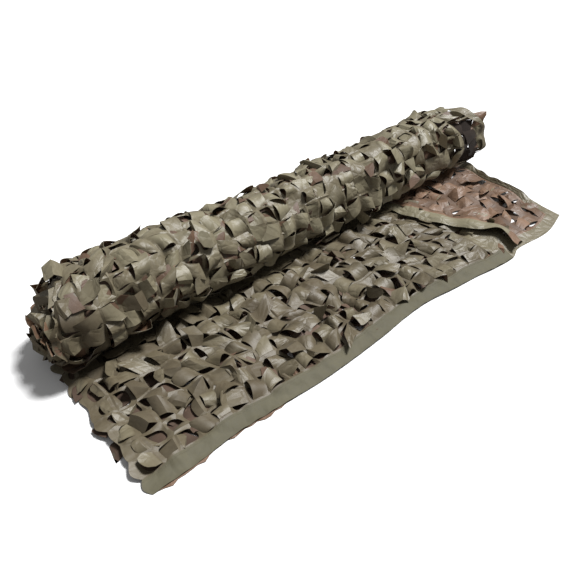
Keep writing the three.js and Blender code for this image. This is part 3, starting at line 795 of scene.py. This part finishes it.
def woven_group():
    """Satin cloth: its threads, soft creases, and a tone that differs from tongue to tongue.

    Besides its random share, the tone carries painted light and shade. A tone below 0 paints shade on cloth
    that lies far into the net: its colour darkens towards a near black brown, the cloth gets rougher, and
    its creases flatten.
    """
    group = bpy.data.node_groups.get("woven_satin")
    if group:
        return group
    group = bpy.data.node_groups.new("woven_satin", "ShaderNodeTree")
    face = group.interface
    for name, kind, default in (
            ("Light", "NodeSocketColor", (0.5, 0.5, 0.5, 1)),
            ("Dark", "NodeSocketColor", (0.2, 0.2, 0.2, 1)),
            ("Pitch", "NodeSocketFloat", 0.0009), ("Gloss", "NodeSocketFloat", 0.5)):
        face.new_socket(name=name, in_out="INPUT", socket_type=kind).default_value = default
    for name, kind in (("Color", "NodeSocketColor"), ("Roughness", "NodeSocketFloat"),
                       ("Threads", "NodeSocketFloat"), ("Creases", "NodeSocketFloat")):
        face.new_socket(name=name, in_out="OUTPUT", socket_type=kind)
    ins = node(group, "NodeGroupInput", (-1400, 0))
    outs = node(group, "NodeGroupOutput", (900, 0))
    link = group.links.new
    uv = node(group, "ShaderNodeUVMap", (-1400, -300))
    uv.uv_map = "Cloth"
    where = node(group, "ShaderNodeTexCoord", (-1400, -500))
    parts = node(group, "ShaderNodeSeparateXYZ", (-1200, -300))
    link(uv.outputs[0], parts.inputs[0])
    turn = mathematics(group, "DIVIDE", (-1200, -100), math.tau, ins.outputs["Pitch"])
    warp = mathematics(group, "SINE", (-800, -250), mathematics(
        group, "MULTIPLY", (-1000, -250), parts.outputs[0], turn))
    weft = mathematics(group, "SINE", (-800, -400), mathematics(
        group, "MULTIPLY", (-1000, -400), parts.outputs[1], turn))
    link(mathematics(group, "MULTIPLY", (-600, -300), warp, weft), outs.inputs["Threads"])
    tone = node(group, "ShaderNodeAttribute", (-1400, 300))
    tone.attribute_name = "tone"
    wide = node(group, "ShaderNodeTexNoise", (-1000, 500), Scale=6.0, Detail=3.0, Roughness=0.5)
    link(where.outputs["Object"], wide.inputs["Vector"])
    fine = node(group, "ShaderNodeTexNoise", (-1000, 250), Scale=90.0, Detail=4.0, Roughness=0.6)
    link(where.outputs["Object"], fine.inputs["Vector"])
    soft = node(group, "ShaderNodeTexNoise", (-1000, -650), Scale=24.0, Detail=1.5, Roughness=0.45)
    link(uv.outputs[0], soft.inputs["Vector"])
    crumpled = node(group, "ShaderNodeTexVoronoi", (-1000, -900), Scale=42.0)
    crumpled.feature = "DISTANCE_TO_EDGE"
    link(uv.outputs[0], crumpled.inputs["Vector"])
    creased = mathematics(group, "MULTIPLY_ADD", (-700, -700), crumpled.outputs[0], 1.3, mathematics(
        group, "MULTIPLY", (-850, -600), soft.outputs[0], 0.55))
    blend = mathematics(group, "MULTIPLY_ADD", (-700, 300), tone.outputs["Fac"], 0.42, 0.0)
    blend = mathematics(group, "MULTIPLY_ADD", (-500, 300), wide.outputs[0], 0.55, blend)
    blend = mathematics(group, "MULTIPLY_ADD", (-300, 300), fine.outputs[0], 0.28, blend)
    shade = node(group, "ShaderNodeMapRange", (-100, 300), From_Min=0.30, From_Max=0.95)
    link(blend, shade.inputs["Value"])
    colour = mixed(group, (150, 200), shade.outputs[0], ins.outputs["Dark"], ins.outputs["Light"])
    # Painted shade: a tone below 0 sets how far the colour darkens, the cloth roughens and its creases
    # flatten.
    painted_shade = mathematics(group, "MULTIPLY", (150, 500), tone.outputs["Fac"], -1.0)
    painted_shade = mathematics(group, "MAXIMUM", (150, 650), painted_shade, 0.0)
    painted_shade = mathematics(group, "MINIMUM", (300, 500), painted_shade, 1.0)
    smoother = mathematics(group, "MAXIMUM", (450, -500), mathematics(
        group, "MULTIPLY_ADD", (300, -500), painted_shade, -6.0, 1.0), 0.3)
    link(mathematics(group, "MULTIPLY", (650, -600), creased, smoother), outs.inputs["Creases"])
    # The painted shade colour: the dark colour darkened to a near black brown.
    painted_shade_colour = mixed(group, (450, 400), 1.0, ins.outputs["Dark"], (0.10, 0.085, 0.07, 1), "MULTIPLY")
    link(mixed(group, (650, 300), painted_shade, colour, painted_shade_colour), outs.inputs["Color"])
    rough = mathematics(group, "MULTIPLY_ADD", (150, -100), fine.outputs[0], 0.16, ins.outputs["Gloss"])
    rough = mathematics(group, "SUBTRACT", (350, -100), rough, 0.08)
    link(mathematics(group, "MULTIPLY_ADD", (650, -100), painted_shade, 0.6, rough), outs.inputs["Roughness"])
    return group


def cloth_material(name, light, dark, gloss, pitch):
    if name in bpy.data.materials:
        return bpy.data.materials[name]
    material, tree, shader = started(name)
    woven = node(tree, "ShaderNodeGroup", (-600, 0))
    woven.node_tree = woven_group()
    filled(woven, Light=(*light, 1), Dark=(*dark, 1), Pitch=pitch, Gloss=gloss)
    threads = node(tree, "ShaderNodeBump", (-350, -400), Strength=0.25, Distance=0.0002)
    creases = node(tree, "ShaderNodeBump", (-180, -300), Strength=0.75, Distance=0.004)
    link = tree.links.new
    link(woven.outputs["Color"], shader.inputs["Base Color"])
    link(woven.outputs["Roughness"], shader.inputs["Roughness"])
    link(woven.outputs["Threads"], threads.inputs["Height"])
    link(woven.outputs["Creases"], creases.inputs["Height"])
    link(threads.outputs[0], creases.inputs["Normal"])
    link(creases.outputs[0], shader.inputs["Normal"])
    filled(shader, Specular_IOR_Level=0.6, Sheen_Weight=0.05, Sheen_Roughness=0.4)
    return material


def toned(colour, share, cast=(1, 1, 1)):
    """A colour made lighter or darker, with a cast."""
    return tuple(min(1.0, c * share * k) for c, k in zip(colour, cast))


def net_materials(context):
    """The finishes of the cloth, in the order of GREEN, BROWN and HEM_CLOTH."""
    colours = context.scene.net_colours
    made = []
    for name, colour, light, light_cast, dark, dark_cast, gloss in FINISHES:
        colour = tuple(getattr(colours, colour))
        made.append(cloth_material(
            name, toned(colour, light, light_cast), toned(colour, dark, dark_cast), gloss, colours.weave))
    return made


# ---------------------------------------------------------------- the pieces


class NET_OT_outermost_turn(bpy.types.Operator):
    """Make the green ply of the roll's outermost turn"""

    bl_idname = "net.outermost_turn"
    bl_label = "Outermost turn"

    def execute(self, context):
        settings = context.scene.net_cloth
        rng = np.random.default_rng(settings.seed + 101)
        across = np.append(evenly(FOLD_X, WIDTH - HEM + FOLD_X, COLUMNS), WIDTH + FOLD_X)
        turns = evenly(0.0, 1.0, ROLL_ROWS)
        nodes = lattice(across, turns, sway=(0.009, 0.013), rng=rng)
        # The hem is narrow and the last slits are small where the hem stands off.
        for line, shift in ((-2, HEM - GAPING_HEM), (-4, 0.024), (-5, 0.012)):
            nodes[:, line, 0] += shift * gaping(turns)
        nodes[:, 0, 0] -= 0.016 * np.clip(np.cos(math.tau * (turns - 0.74)), 0, 1)
        cells = corners_of(nodes)
        cloth = Cloth(outermost_turn, outward=-1, metric=(1.0, 0.69))
        cloth.plain(cells[[0, -1], :-1], steps=6)
        cloth.plain(cells[:, -1:], steps=6, hem=True)
        column = np.arange(COLUMNS)[None].repeat(ROLL_ROWS - 2, 0).reshape(-1)
        slit = flat_cells(cells[1:-1, :-1])
        gap = (column >= COLUMNS - 2) & (gaping(slit[:, :, 1].mean(axis=1)) > 0.9)
        slit, column = slit[~gap], column[~gap]
        whole = (rng.uniform(0, 1, len(slit)) < 0.06) & (column != 0)
        cloth.plain(slit[whole], steps=6)
        slit, column = slit[~whole], column[~whole]
        middle = slit.mean(axis=1)
        first = column == 0
        sides = np.where(first, 1, rng.integers(0, 4, len(slit)))
        manner = Manner(len(slit), rng, settings.tongue, sides, free_share(middle[:, 1]), hug=0.22)
        # Painted shade darkens the lower front of the roll's left end, on its tongues and on the cloth
        # round them. Painted light makes the tongues lighter towards the open end.
        shaded = (1 - smooth(0.05, 0.5, middle[:, 0])) * smooth(0.55, 0.7, middle[:, 1])
        lit = 0.45 + 0.34 * smooth(0.3, 0.8, middle[:, 0])
        manner.tone = np.maximum(manner.tone * 0.95 + lit - 0.6 * shaded, -0.25 * shaded) - 0.14 * shaded
        manner.ground -= 0.6 * shaded
        at_top = between(middle[:, 1], 0.30, 0.36, 0.52, 0.60)
        manner.rise = np.minimum(manner.rise, np.radians(50 - 20 * at_top))
        manner.bend = np.where(at_top > 0.3, np.minimum(manner.bend, -1.8 * manner.rise), manner.bend)
        manner.fold = np.minimum(manner.fold, math.radians(42) - manner.rise)
        manner.bridge[first] = False
        over_end = first & (rng.uniform(0, 1, len(slit)) < 0.6)
        manner.side[first & ~over_end] = rng.choice((0, 2, 3), (first & ~over_end).sum())
        manner.draw(over_end, length=(0.050, 0.070), far=(0.66, 0.84), rise=(8, 34), bend=(-40, 0),
                    fold=(-105, -45), fold_at=(0.45, 0.65))
        slit_cells(cloth, slit, manner, steps=6, rows=8)
        piece = cloth_mesh("roll_outermost_turn", cloth, context)
        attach(piece, "root")
        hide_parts("net_roll")
        return {"FINISHED"}


class NET_OT_under_turn(bpy.types.Operator):
    """Make the ply under it, with its brown face out, and the fold that joins the two"""

    bl_idname = "net.under_turn"
    bl_label = "Turn under it"

    def execute(self, context):
        settings = context.scene.net_cloth
        rng = np.random.default_rng(settings.seed + 200)
        fold = (0.0, FOLD_BEND / 2)
        field = evenly(FOLD_BEND, FOLD_BEND + WIDTH - HEM, COLUMNS)
        across = np.concatenate((fold, field, (FOLD_BEND + WIDTH,)))
        nodes = lattice(across, evenly(0.0, 1.0, ROLL_ROWS), sway=(0.006, 0.008), rng=rng)
        nodes[:, :3, 0] = across[None, :3]
        cells = corners_of(nodes)
        cloth = Cloth(under_turn, outward=-1, metric=(1.0, 0.64))
        cloth.plain(cells[[0, -1], 2:-1], steps=3)
        cloth.plain(cells[:, :2], steps=3)
        for row in range(ROLL_ROWS):
            # The hem of one row is turned out, so that its brown face shows.
            cloth.plain(cells[row, -1:], steps=5, tone=0.8, hem=row != 8)
        slit = flat_cells(cells[1:-1, 2:-1])
        middle = slit.mean(axis=1)
        ease = free_share(middle[:, 1]) * 0.45
        manner = Manner(len(slit), rng, settings.tongue * 0.9, None, ease, bridges=0.0, turned_up=0.0)
        near_end = middle[:, 0] > 1.2
        manner.rise[near_end] = rng.uniform(0.0, 0.16, near_end.sum())
        manner.scale(near_end, lean=0.2, bend=0.25, fold=0.25, twist=0.25)
        manner.recast(near_end, tip=0.055, length=0.058)
        # Painted shade: the whole under ply is darkened a little, and the cloth in the pocket at the open
        # end, where the hem stands off, much more.
        hidden = 0.12 + 0.8 * smooth(1.36, 1.42, middle[:, 0]) * gaping(middle[:, 1])
        manner.ground = -hidden
        manner.tone = rng.uniform(-0.1, 0.1, len(slit)) - hidden
        slit_cells(cloth, slit, manner, steps=3, rows=3)
        piece = cloth_mesh("roll_under_turn", cloth, context, faces=(BROWN, GREEN))
        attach(piece, "root")
        return {"FINISHED"}


class NET_OT_inner_turns(bpy.types.Operator):
    """Make the turns inside the roll, which show at its ends"""

    bl_idname = "net.inner_turns"
    bl_label = "Inner turns"

    def execute(self, context):
        settings = context.scene.net_cloth
        rng = np.random.default_rng(settings.seed + 300)
        shown = 3  # columns of slits at each end
        step = settings.cell
        turns = [1.0]
        while turns[-1] < INNERMOST_TURN:
            turns.append(turns[-1] + step / (math.tau * (ROLL_RADIUS - TURN_PITCH * turns[-1])))
        near = evenly(0.0, shown * step, shown)
        ends = evenly(WIDTH - HEM - shown * step, WIDTH - HEM, shown)
        across = np.concatenate((near, ends, (WIDTH,)))
        cloth = Cloth(None, outward=-1)
        for outside in (True, False):
            ply = Cloth(inner_turns(outside), outward=-1, metric=(1.0, 0.4))
            cells = corners_of(lattice(across, turns, sway=(0.004, 0.006), rng=rng))
            ply.plain(cells[:, shown:shown + 1], steps=3)
            ply.plain(cells[:, -1:], steps=3, hem=True)
            for block in (cells[:, :shown], cells[:, shown + 1:-1]):
                slit = flat_cells(block)
                ease = np.full(len(slit), 0.25)
                manner = Manner(len(slit), rng, settings.tongue * 0.8, None, ease, bridges=0.0)
                # Tongues at the fold hang out over the end of the roll.
                at_fold = slit[:, :, 0].min(axis=1) < 0.01
                manner.side[at_fold] = 1
                manner.draw(at_fold, length=(0.084, 0.110), rise=(-4, 12), bend=(-40, 0), fold=(-125, -60),
                            fold_at=(0.52, 0.66), twist=(-25, 25))
                # Painted shade: the inner turns' cloth is darkened, except for the tongues at the fold.
                manner.recast(~at_fold, ground=-0.4, tone=-0.4)
                slit_cells(ply, slit, manner, steps=4, rows=6)
            cloth.take(ply)
        piece = cloth_mesh("roll_inner_turns", cloth, context)
        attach(piece, "root")
        return {"FINISHED"}


class NET_OT_upper_ply(bpy.types.Operator):
    """Make the green ply of the loose end, whose side edge curls back over it"""

    bl_idname = "net.upper_ply"
    bl_label = "Upper ply"

    def execute(self, context):
        settings = context.scene.net_cloth
        rng = np.random.default_rng(settings.seed + 400)
        columns, curled = 25, 2
        curl_hem = 1.0 + CURL_LENGTH - HEM
        over = evenly(1.0, curl_hem, curled)[1:]
        across = np.concatenate((evenly(0.0, 1.0, columns), over, (1.0 + CURL_LENGTH,)))
        nodes = lattice(across, LOOSE_ROWS_AT, sway=(0.0075, 0.009), rng=rng)
        nodes[1, :, 1] = HEM
        nodes[:, columns, 0] = 1.0
        nodes[:, -2, 0] = curl_hem
        nodes[0, 1:-2, 0] = nodes[1, 1:-2, 0]
        cells = corners_of(nodes)
        cloth = Cloth(upper_ply, outward=1, metric=(1.26, 1.0))
        # The front hem's tone below 0 is painted shade, and the curl's hem is given painted light with a
        # tone of 1.3.
        cloth.plain(cells[0, :columns], steps=7, tone=-0.10, hem=True)
        cloth.plain(cells[0, columns:], steps=7)
        cloth.plain(cells[1:-1, -1:], steps=7, tone=1.3, hem=True)
        cloth.plain(cells[-1:], steps=7)
        cloth.plain(cells[1:3, columns - 1:columns + 1], steps=7)
        field = np.ones(cells.shape[:2], bool)
        field[0] = field[-1] = False
        field[:, -1] = False
        field[1:3, columns - 1:columns + 1] = False
        slit = cells[field]
        middle = slit.mean(axis=1)
        row, column = np.nonzero(field)
        manner = Manner(len(slit), rng, settings.tongue, None, 1 - 0.75 * smooth(0.33, 0.41, middle[:, 1]))
        # Painted shade: the tongues are darkened, more towards the fold, and the cloth round the slits more
        # still.
        at_left = 1 - smooth(0.1, 0.6, middle[:, 0])
        manner.tone = np.maximum(manner.tone * 0.95 - 0.36, 0) - 0.04 - 0.10 * at_left
        manner.ground -= 0.58
        manner.rise = np.minimum(manner.rise, math.radians(60))

        # Half open loops along the fold.
        at_fold = column == 0
        manner.recast(at_fold, side=1, bridge=False)
        manner.draw(at_fold, length=(0.036, 0.052), tip=(0.036, 0.044), round=(0.2, 0.4), rise=(0, 22),
                    bend=(-45, -5), far=(0.56, 0.72))
        manner.scale(at_fold, lean=0.3, fold=0.4)
        manner.tone[at_fold] = manner.tone[at_fold] * 0.5 + 0.25
        near_fold = (column < 4) & (row < 6) & (rng.uniform(0, 1, len(slit)) < 0.36)
        open_holes = (at_fold & (row % 2 == 0)) | near_fold
        manner.bridge[open_holes] = False
        manner.draw(open_holes, rise=(-30, -10), bend=(0, 30), length=(0.014, 0.024), round=(0.36, 0.45),
                    low=(0.08, 0.12), high=(0.88, 0.92))

        # Flat under the curl, flatter on it, and small beside its hem.
        under_curl = (column >= columns - 2) & (column < columns)
        manner.draw(under_curl, rise=(0, 12))
        manner.scale(under_curl, bend=0.3)
        on_curl = column >= columns
        manner.draw(on_curl, rise=(-9, -2), bend=(0, 14), fold=(0, 12), twist=(-6, 6))
        manner.scale(on_curl, length=1.15)
        manner.recast(column > columns, length=0.020, low=0.28, high=0.72, far=0.62)
        manner.recast(under_curl | on_curl, bridge=False)
        slit_cells(cloth, slit, manner, steps=7, rows=9)
        piece = cloth_mesh("loose_upper_ply", cloth, context, hem_faces=(HEM_CLOTH, GREEN))
        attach(piece, "root")
        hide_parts("net_loose_end")
        return {"FINISHED"}


def laid_open(manner, middle):
    """Small arched tongues where the ply shows, and flat ones where the upper ply covers it."""
    everywhere = np.ones(len(middle), bool)
    manner.draw(everywhere, rise=(18, 44), bend=(-100, -50))
    manner.scale(everywhere, fold=0.5, length=1.2)
    # Painted shade on the cloth round the slits, under the tongues.
    manner.ground -= 0.62
    manner.low += 0.06
    manner.high -= 0.06
    manner.far -= 0.08
    manner.tone = manner.rng.uniform(-0.1, 1.3, len(middle)).clip(0)
    by_side = middle[:, 0] < HEM + 0.05
    manner.side[by_side & (manner.side == 1)] = 3
    manner.low[by_side] += 0.05
    manner.high[by_side] -= 0.07
    manner.far[by_side] -= 0.07
    covered = middle[:, 0] > 0.31
    manner.rise[covered] = manner.rng.uniform(0.03, 0.14, covered.sum())
    manner.scale(covered, bend=0.15, fold=0.15)
    manner.length[covered] = 0.046


class NET_OT_lower_ply(bpy.types.Operator):
    """Make the ply that lies on the ground, with its brown face up"""

    bl_idname = "net.lower_ply"
    bl_label = "Lower ply"

    def execute(self, context):
        settings = context.scene.net_cloth
        rng = np.random.default_rng(settings.seed + 500)
        shown = 10  # columns that show
        across = np.concatenate(((0.0,), evenly(HEM, WIDTH, COLUMNS)))
        nodes = lattice(across, LOOSE_ROWS_AT, sway=(0.009, 0.009), rng=rng)
        nodes[1, :, 1] = HEM
        nodes[:, 1, 0] = HEM
        cells = corners_of(nodes)
        cloth = Cloth(lower_ply, outward=-1)
        cloth.plain(cells[:1, :shown], steps=4, hem=True)
        cloth.plain(cells[:1, shown:], steps=3)
        cloth.plain(cells[1:, :1], steps=4, hem=True)
        cloth.plain(cells[-1:, 1:], steps=4)
        for block, steps, tongue_rows, in_sight in (
                (cells[1:-1, 1:shown], 4, 5, True), (cells[1:-1, shown:], 3, 3, False)):
            slit = flat_cells(block)
            middle = slit.mean(axis=1)
            ease = (1 - 0.75 * smooth(0.33, 0.41, middle[:, 1])) * (1.0 if in_sight else 0.16)
            manner = Manner(
                len(slit), rng, settings.tongue * 1.08, None, ease, leafy=0.75, bridges=0.0, turned_up=0.0)
            if in_sight:
                laid_open(manner, middle)
            else:
                # Painted shade: where the upper ply covers it, the cloth and its tongues are darkened, more
                # towards the fold.
                by_fold = smooth(1.1, 1.25, middle[:, 0])
                manner.ground -= 0.85 + 0.3 * by_fold
                manner.tone = manner.tone * 0.4 - 0.32 - 0.25 * by_fold
            slit_cells(cloth, slit, manner, steps, tongue_rows)
        piece = cloth_mesh("loose_lower_ply", cloth, context, faces=(BROWN, GREEN))
        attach(piece, "root")
        return {"FINISHED"}


def stitching_tree():
    """Stitches along a path, by their pitch, their length, the thread's thickness and its finish."""
    tree = bpy.data.node_groups.get("hem_stitching")
    if tree:
        return tree
    tree = bpy.data.node_groups.new("hem_stitching", "GeometryNodeTree")
    face = tree.interface
    face.new_socket(name="Path", in_out="INPUT", socket_type="NodeSocketGeometry")
    for name in ("Pitch", "Stitch", "Thread"):
        socket = face.new_socket(name=name, in_out="INPUT", socket_type="NodeSocketFloat")
        socket.subtype = "DISTANCE"
    face.new_socket(name="Finish", in_out="INPUT", socket_type="NodeSocketMaterial")
    face.new_socket(name="Stitches", in_out="OUTPUT", socket_type="NodeSocketGeometry")
    ins = node(tree, "NodeGroupInput", (-900, 0))
    outs = node(tree, "NodeGroupOutput", (900, 0))
    link = tree.links.new
    path = node(tree, "GeometryNodeMeshToCurve", (-700, 100))
    spaced = node(tree, "GeometryNodeResampleCurve", (-500, 100))
    spaced.mode = "LENGTH"
    stitch = node(tree, "GeometryNodeMeshCylinder", (-300, -150), Vertices=6)
    along_path = node(tree, "GeometryNodeInputTangent", (-500, -300))
    turned = node(tree, "FunctionNodeAlignRotationToVector", (-300, -400))
    turned.axis = "Z"
    placed = node(tree, "GeometryNodeInstanceOnPoints", (0, 100))
    real = node(tree, "GeometryNodeRealizeInstances", (250, 100))
    finish = node(tree, "GeometryNodeSetMaterial", (500, 100))
    link(ins.outputs["Path"], path.inputs["Mesh"])
    link(path.outputs["Curve"], spaced.inputs["Curve"])
    link(ins.outputs["Pitch"], spaced.inputs["Length"])
    link(mathematics(tree, "MULTIPLY", (-600, -150), ins.outputs["Thread"], 0.5), stitch.inputs["Radius"])
    link(ins.outputs["Stitch"], stitch.inputs["Depth"])
    link(along_path.outputs[0], turned.inputs["Vector"])
    link(spaced.outputs["Curve"], placed.inputs["Points"])
    link(stitch.outputs["Mesh"], placed.inputs["Instance"])
    link(turned.outputs[0], placed.inputs["Rotation"])
    link(placed.outputs[0], real.inputs[0])
    link(real.outputs[0], finish.inputs["Geometry"])
    link(ins.outputs["Finish"], finish.inputs["Material"])
    link(finish.outputs[0], outs.inputs["Stitches"])
    return tree


def thread_material(colour):
    if "net_thread" in bpy.data.materials:
        return bpy.data.materials["net_thread"]
    material, tree, shader = started("net_thread")
    where = node(tree, "ShaderNodeTexCoord", (-900, 0))
    strands = node(tree, "ShaderNodeTexWave", (-650, -200), Scale=900.0, Distortion=1.5)
    worn = node(tree, "ShaderNodeTexNoise", (-650, 150), Scale=60.0, Detail=3.0)
    link = tree.links.new
    link(where.outputs["Object"], strands.inputs["Vector"])
    link(where.outputs["Object"], worn.inputs["Vector"])
    light, dark = (*toned(colour, 1.3), 1), (*toned(colour, 0.7), 1)
    link(mixed(tree, (-350, 150), worn.outputs[0], dark, light), shader.inputs["Base Color"])
    bump = node(tree, "ShaderNodeBump", (-350, -200), Strength=0.5, Distance=0.0002)
    link(strands.outputs["Fac"], bump.inputs["Height"])
    link(bump.outputs[0], shader.inputs["Normal"])
    filled(shader, Roughness=0.62)
    return material


class NET_OT_stitching(bpy.types.Operator):
    """Sew the hems: a row of stitches near the inner edge of each"""

    bl_idname = "net.stitching"
    bl_label = "Stitching"

    def execute(self, context):
        settings, colours = context.scene.net_cloth, context.scene.net_colours
        count = 160  # points of the path along each hem
        run = np.linspace(0, 1, count)
        turns = 0.08 + 0.86 * run
        seam = HEM - STITCH_INSET
        rows = (
            (upper_ply, 1, run, np.full(count, seam)),
            (upper_ply, 1, np.full(count, 1.0 + CURL_LENGTH - seam), 0.06 + 0.34 * run),
            (lower_ply, -1, np.full(count, seam), 0.01 + 0.40 * run),
            (outermost_turn, -1, WIDTH + FOLD_X - seam + (HEM - GAPING_HEM) * gaping(turns), turns),
        )
        points, edges = [], []
        for surface, outward, across, ahead in rows:
            cloth = Cloth(surface, outward)
            where = np.stack((across, ahead), axis=-1)
            edges += [(len(points) + k, len(points) + k + 1) for k in range(count - 1)]
            points += list(cloth.at(where) + cloth.frames(where)[2] * settings.thickness * 0.6 + ORIGIN)
        mesh = bpy.data.meshes.new("hem_stitching_path")
        mesh.from_pydata(points, edges, [])
        path = added("hem_stitching_path", mesh)
        modifier = path.modifiers.new("Stitching", "NODES")
        modifier.node_group = stitching_tree()
        finish = thread_material(tuple(colours.green))
        values = {"Pitch": 0.0045, "Stitch": 0.0031, "Thread": 0.0009, "Finish": finish}
        for socket in modifier.node_group.interface.items_tree:
            if socket.in_out == "INPUT" and socket.name in values:
                modifier[socket.identifier] = values[socket.name]
        context.view_layer.update()
        graph = context.evaluated_depsgraph_get()
        stitches = bpy.data.meshes.new_from_object(path.evaluated_get(graph), depsgraph=graph)
        stitches.name = "hem_stitching"
        path.modifiers.clear()
        bpy.data.objects.remove(path)
        if len(stitches.polygons) < 1000:
            raise RuntimeError("The hems have too few stitches.")
        softened(stitches, sharp_from=60)
        piece = added("hem_stitching", stitches)
        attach(piece, "root")
        return {"FINISHED"}


class NET_OT_stage(bpy.types.Operator):
    """Make the floor, the light and the camera"""

    bl_idname = "net.stage"
    bl_label = "Stage"

    def execute(self, context):
        scene, stage = context.scene, context.scene.net_stage
        lens = bpy.data.cameras.new("camera")
        lens.lens = CAMERA_LENS
        camera = added("camera", lens)
        camera.location = Vector(CAMERA_AT) + Vector(ORIGIN)
        camera.rotation_euler = Euler([math.radians(angle) for angle in CAMERA_TURN])
        scene.camera = camera
        scene.view_settings.view_transform = "Standard"

        # The floor looks nearly white to the camera, and throws little light back at the cloth.
        mesh = bpy.data.meshes.new("floor")
        half = 80.0
        mesh.from_pydata([(-half, -half, 0), (half, -half, 0), (half, half, 0), (-half, half, 0)], [],
                         [(0, 1, 2, 3)])
        floor = added("floor", mesh)
        material, tree, shader = started("pale_floor")
        filled(shader, Roughness=0.9)
        seen = node(tree, "ShaderNodeLightPath", (-400, 200))
        looks, lights = (0.93, 0.93, 0.93, 1), (0.14, 0.12, 0.10, 1)
        colour = mixed(tree, (-200, 100), seen.outputs["Is Camera Ray"], lights, looks)
        tree.links.new(colour, shader.inputs["Base Color"])
        mesh.materials.append(material)

        # The sky is white to the camera, and lights the net with the strength set in the stage.
        world = bpy.data.worlds.new("studio")
        world.use_nodes = True
        tree = world.node_tree
        sky = filled(tree.nodes["Background"], Color=(1, 1, 1, 1))
        seen = node(tree, "ShaderNodeLightPath", (-500, 0))
        strength = mathematics(
            tree, "MULTIPLY_ADD", (-250, 0), seen.outputs["Is Camera Ray"], 1 - stage.sky, stage.sky)
        tree.links.new(strength, sky.inputs["Strength"])
        scene.world = world

        sun = bpy.data.lights.new("sun", "SUN")
        sun.energy = stage.lamp
        sun.angle = math.radians(SUN_WIDTH)
        light = added("sun", sun)
        light.rotation_euler = Vector(SUN_FROM).to_track_quat("Z", "Y").to_euler()
        return {"FINISHED"}


class NET_PT_panel(bpy.types.Panel):
    """Sizes, colours and pieces of the net"""

    bl_label = "Camouflage net"
    bl_idname = "NET_PT_panel"
    bl_space_type = "VIEW_3D"
    bl_region_type = "UI"
    bl_category = "Net"

    def draw(self, context):
        for group in (context.scene.net_cloth, context.scene.net_colours, context.scene.net_stage):
            box = self.layout.box()
            for name in group.__annotations__:
                box.prop(group, name)
        for operator in OPERATORS:
            self.layout.operator(operator.bl_idname)


OPERATORS = (
    NET_OT_stage, NET_OT_inner_turns, NET_OT_under_turn, NET_OT_outermost_turn, NET_OT_lower_ply,
    NET_OT_upper_ply, NET_OT_stitching,
)
GROUPS = {"net_cloth": NetCloth, "net_colours": NetColours, "net_stage": NetStage}


def register():
    for entry in (*GROUPS.values(), *OPERATORS, NET_PT_panel):
        bpy.utils.register_class(entry)
    for name, group in GROUPS.items():
        setattr(bpy.types.Scene, name, PointerProperty(type=group))


def unregister():
    for name in GROUPS:
        delattr(bpy.types.Scene, name)
    for entry in reversed((*GROUPS.values(), *OPERATORS, NET_PT_panel)):
        bpy.utils.unregister_class(entry)


def main():
    register()
    for operator in OPERATORS:
        getattr(bpy.ops.net, operator.bl_idname.split(".")[1])()


if __name__ == "__main__":
    main()
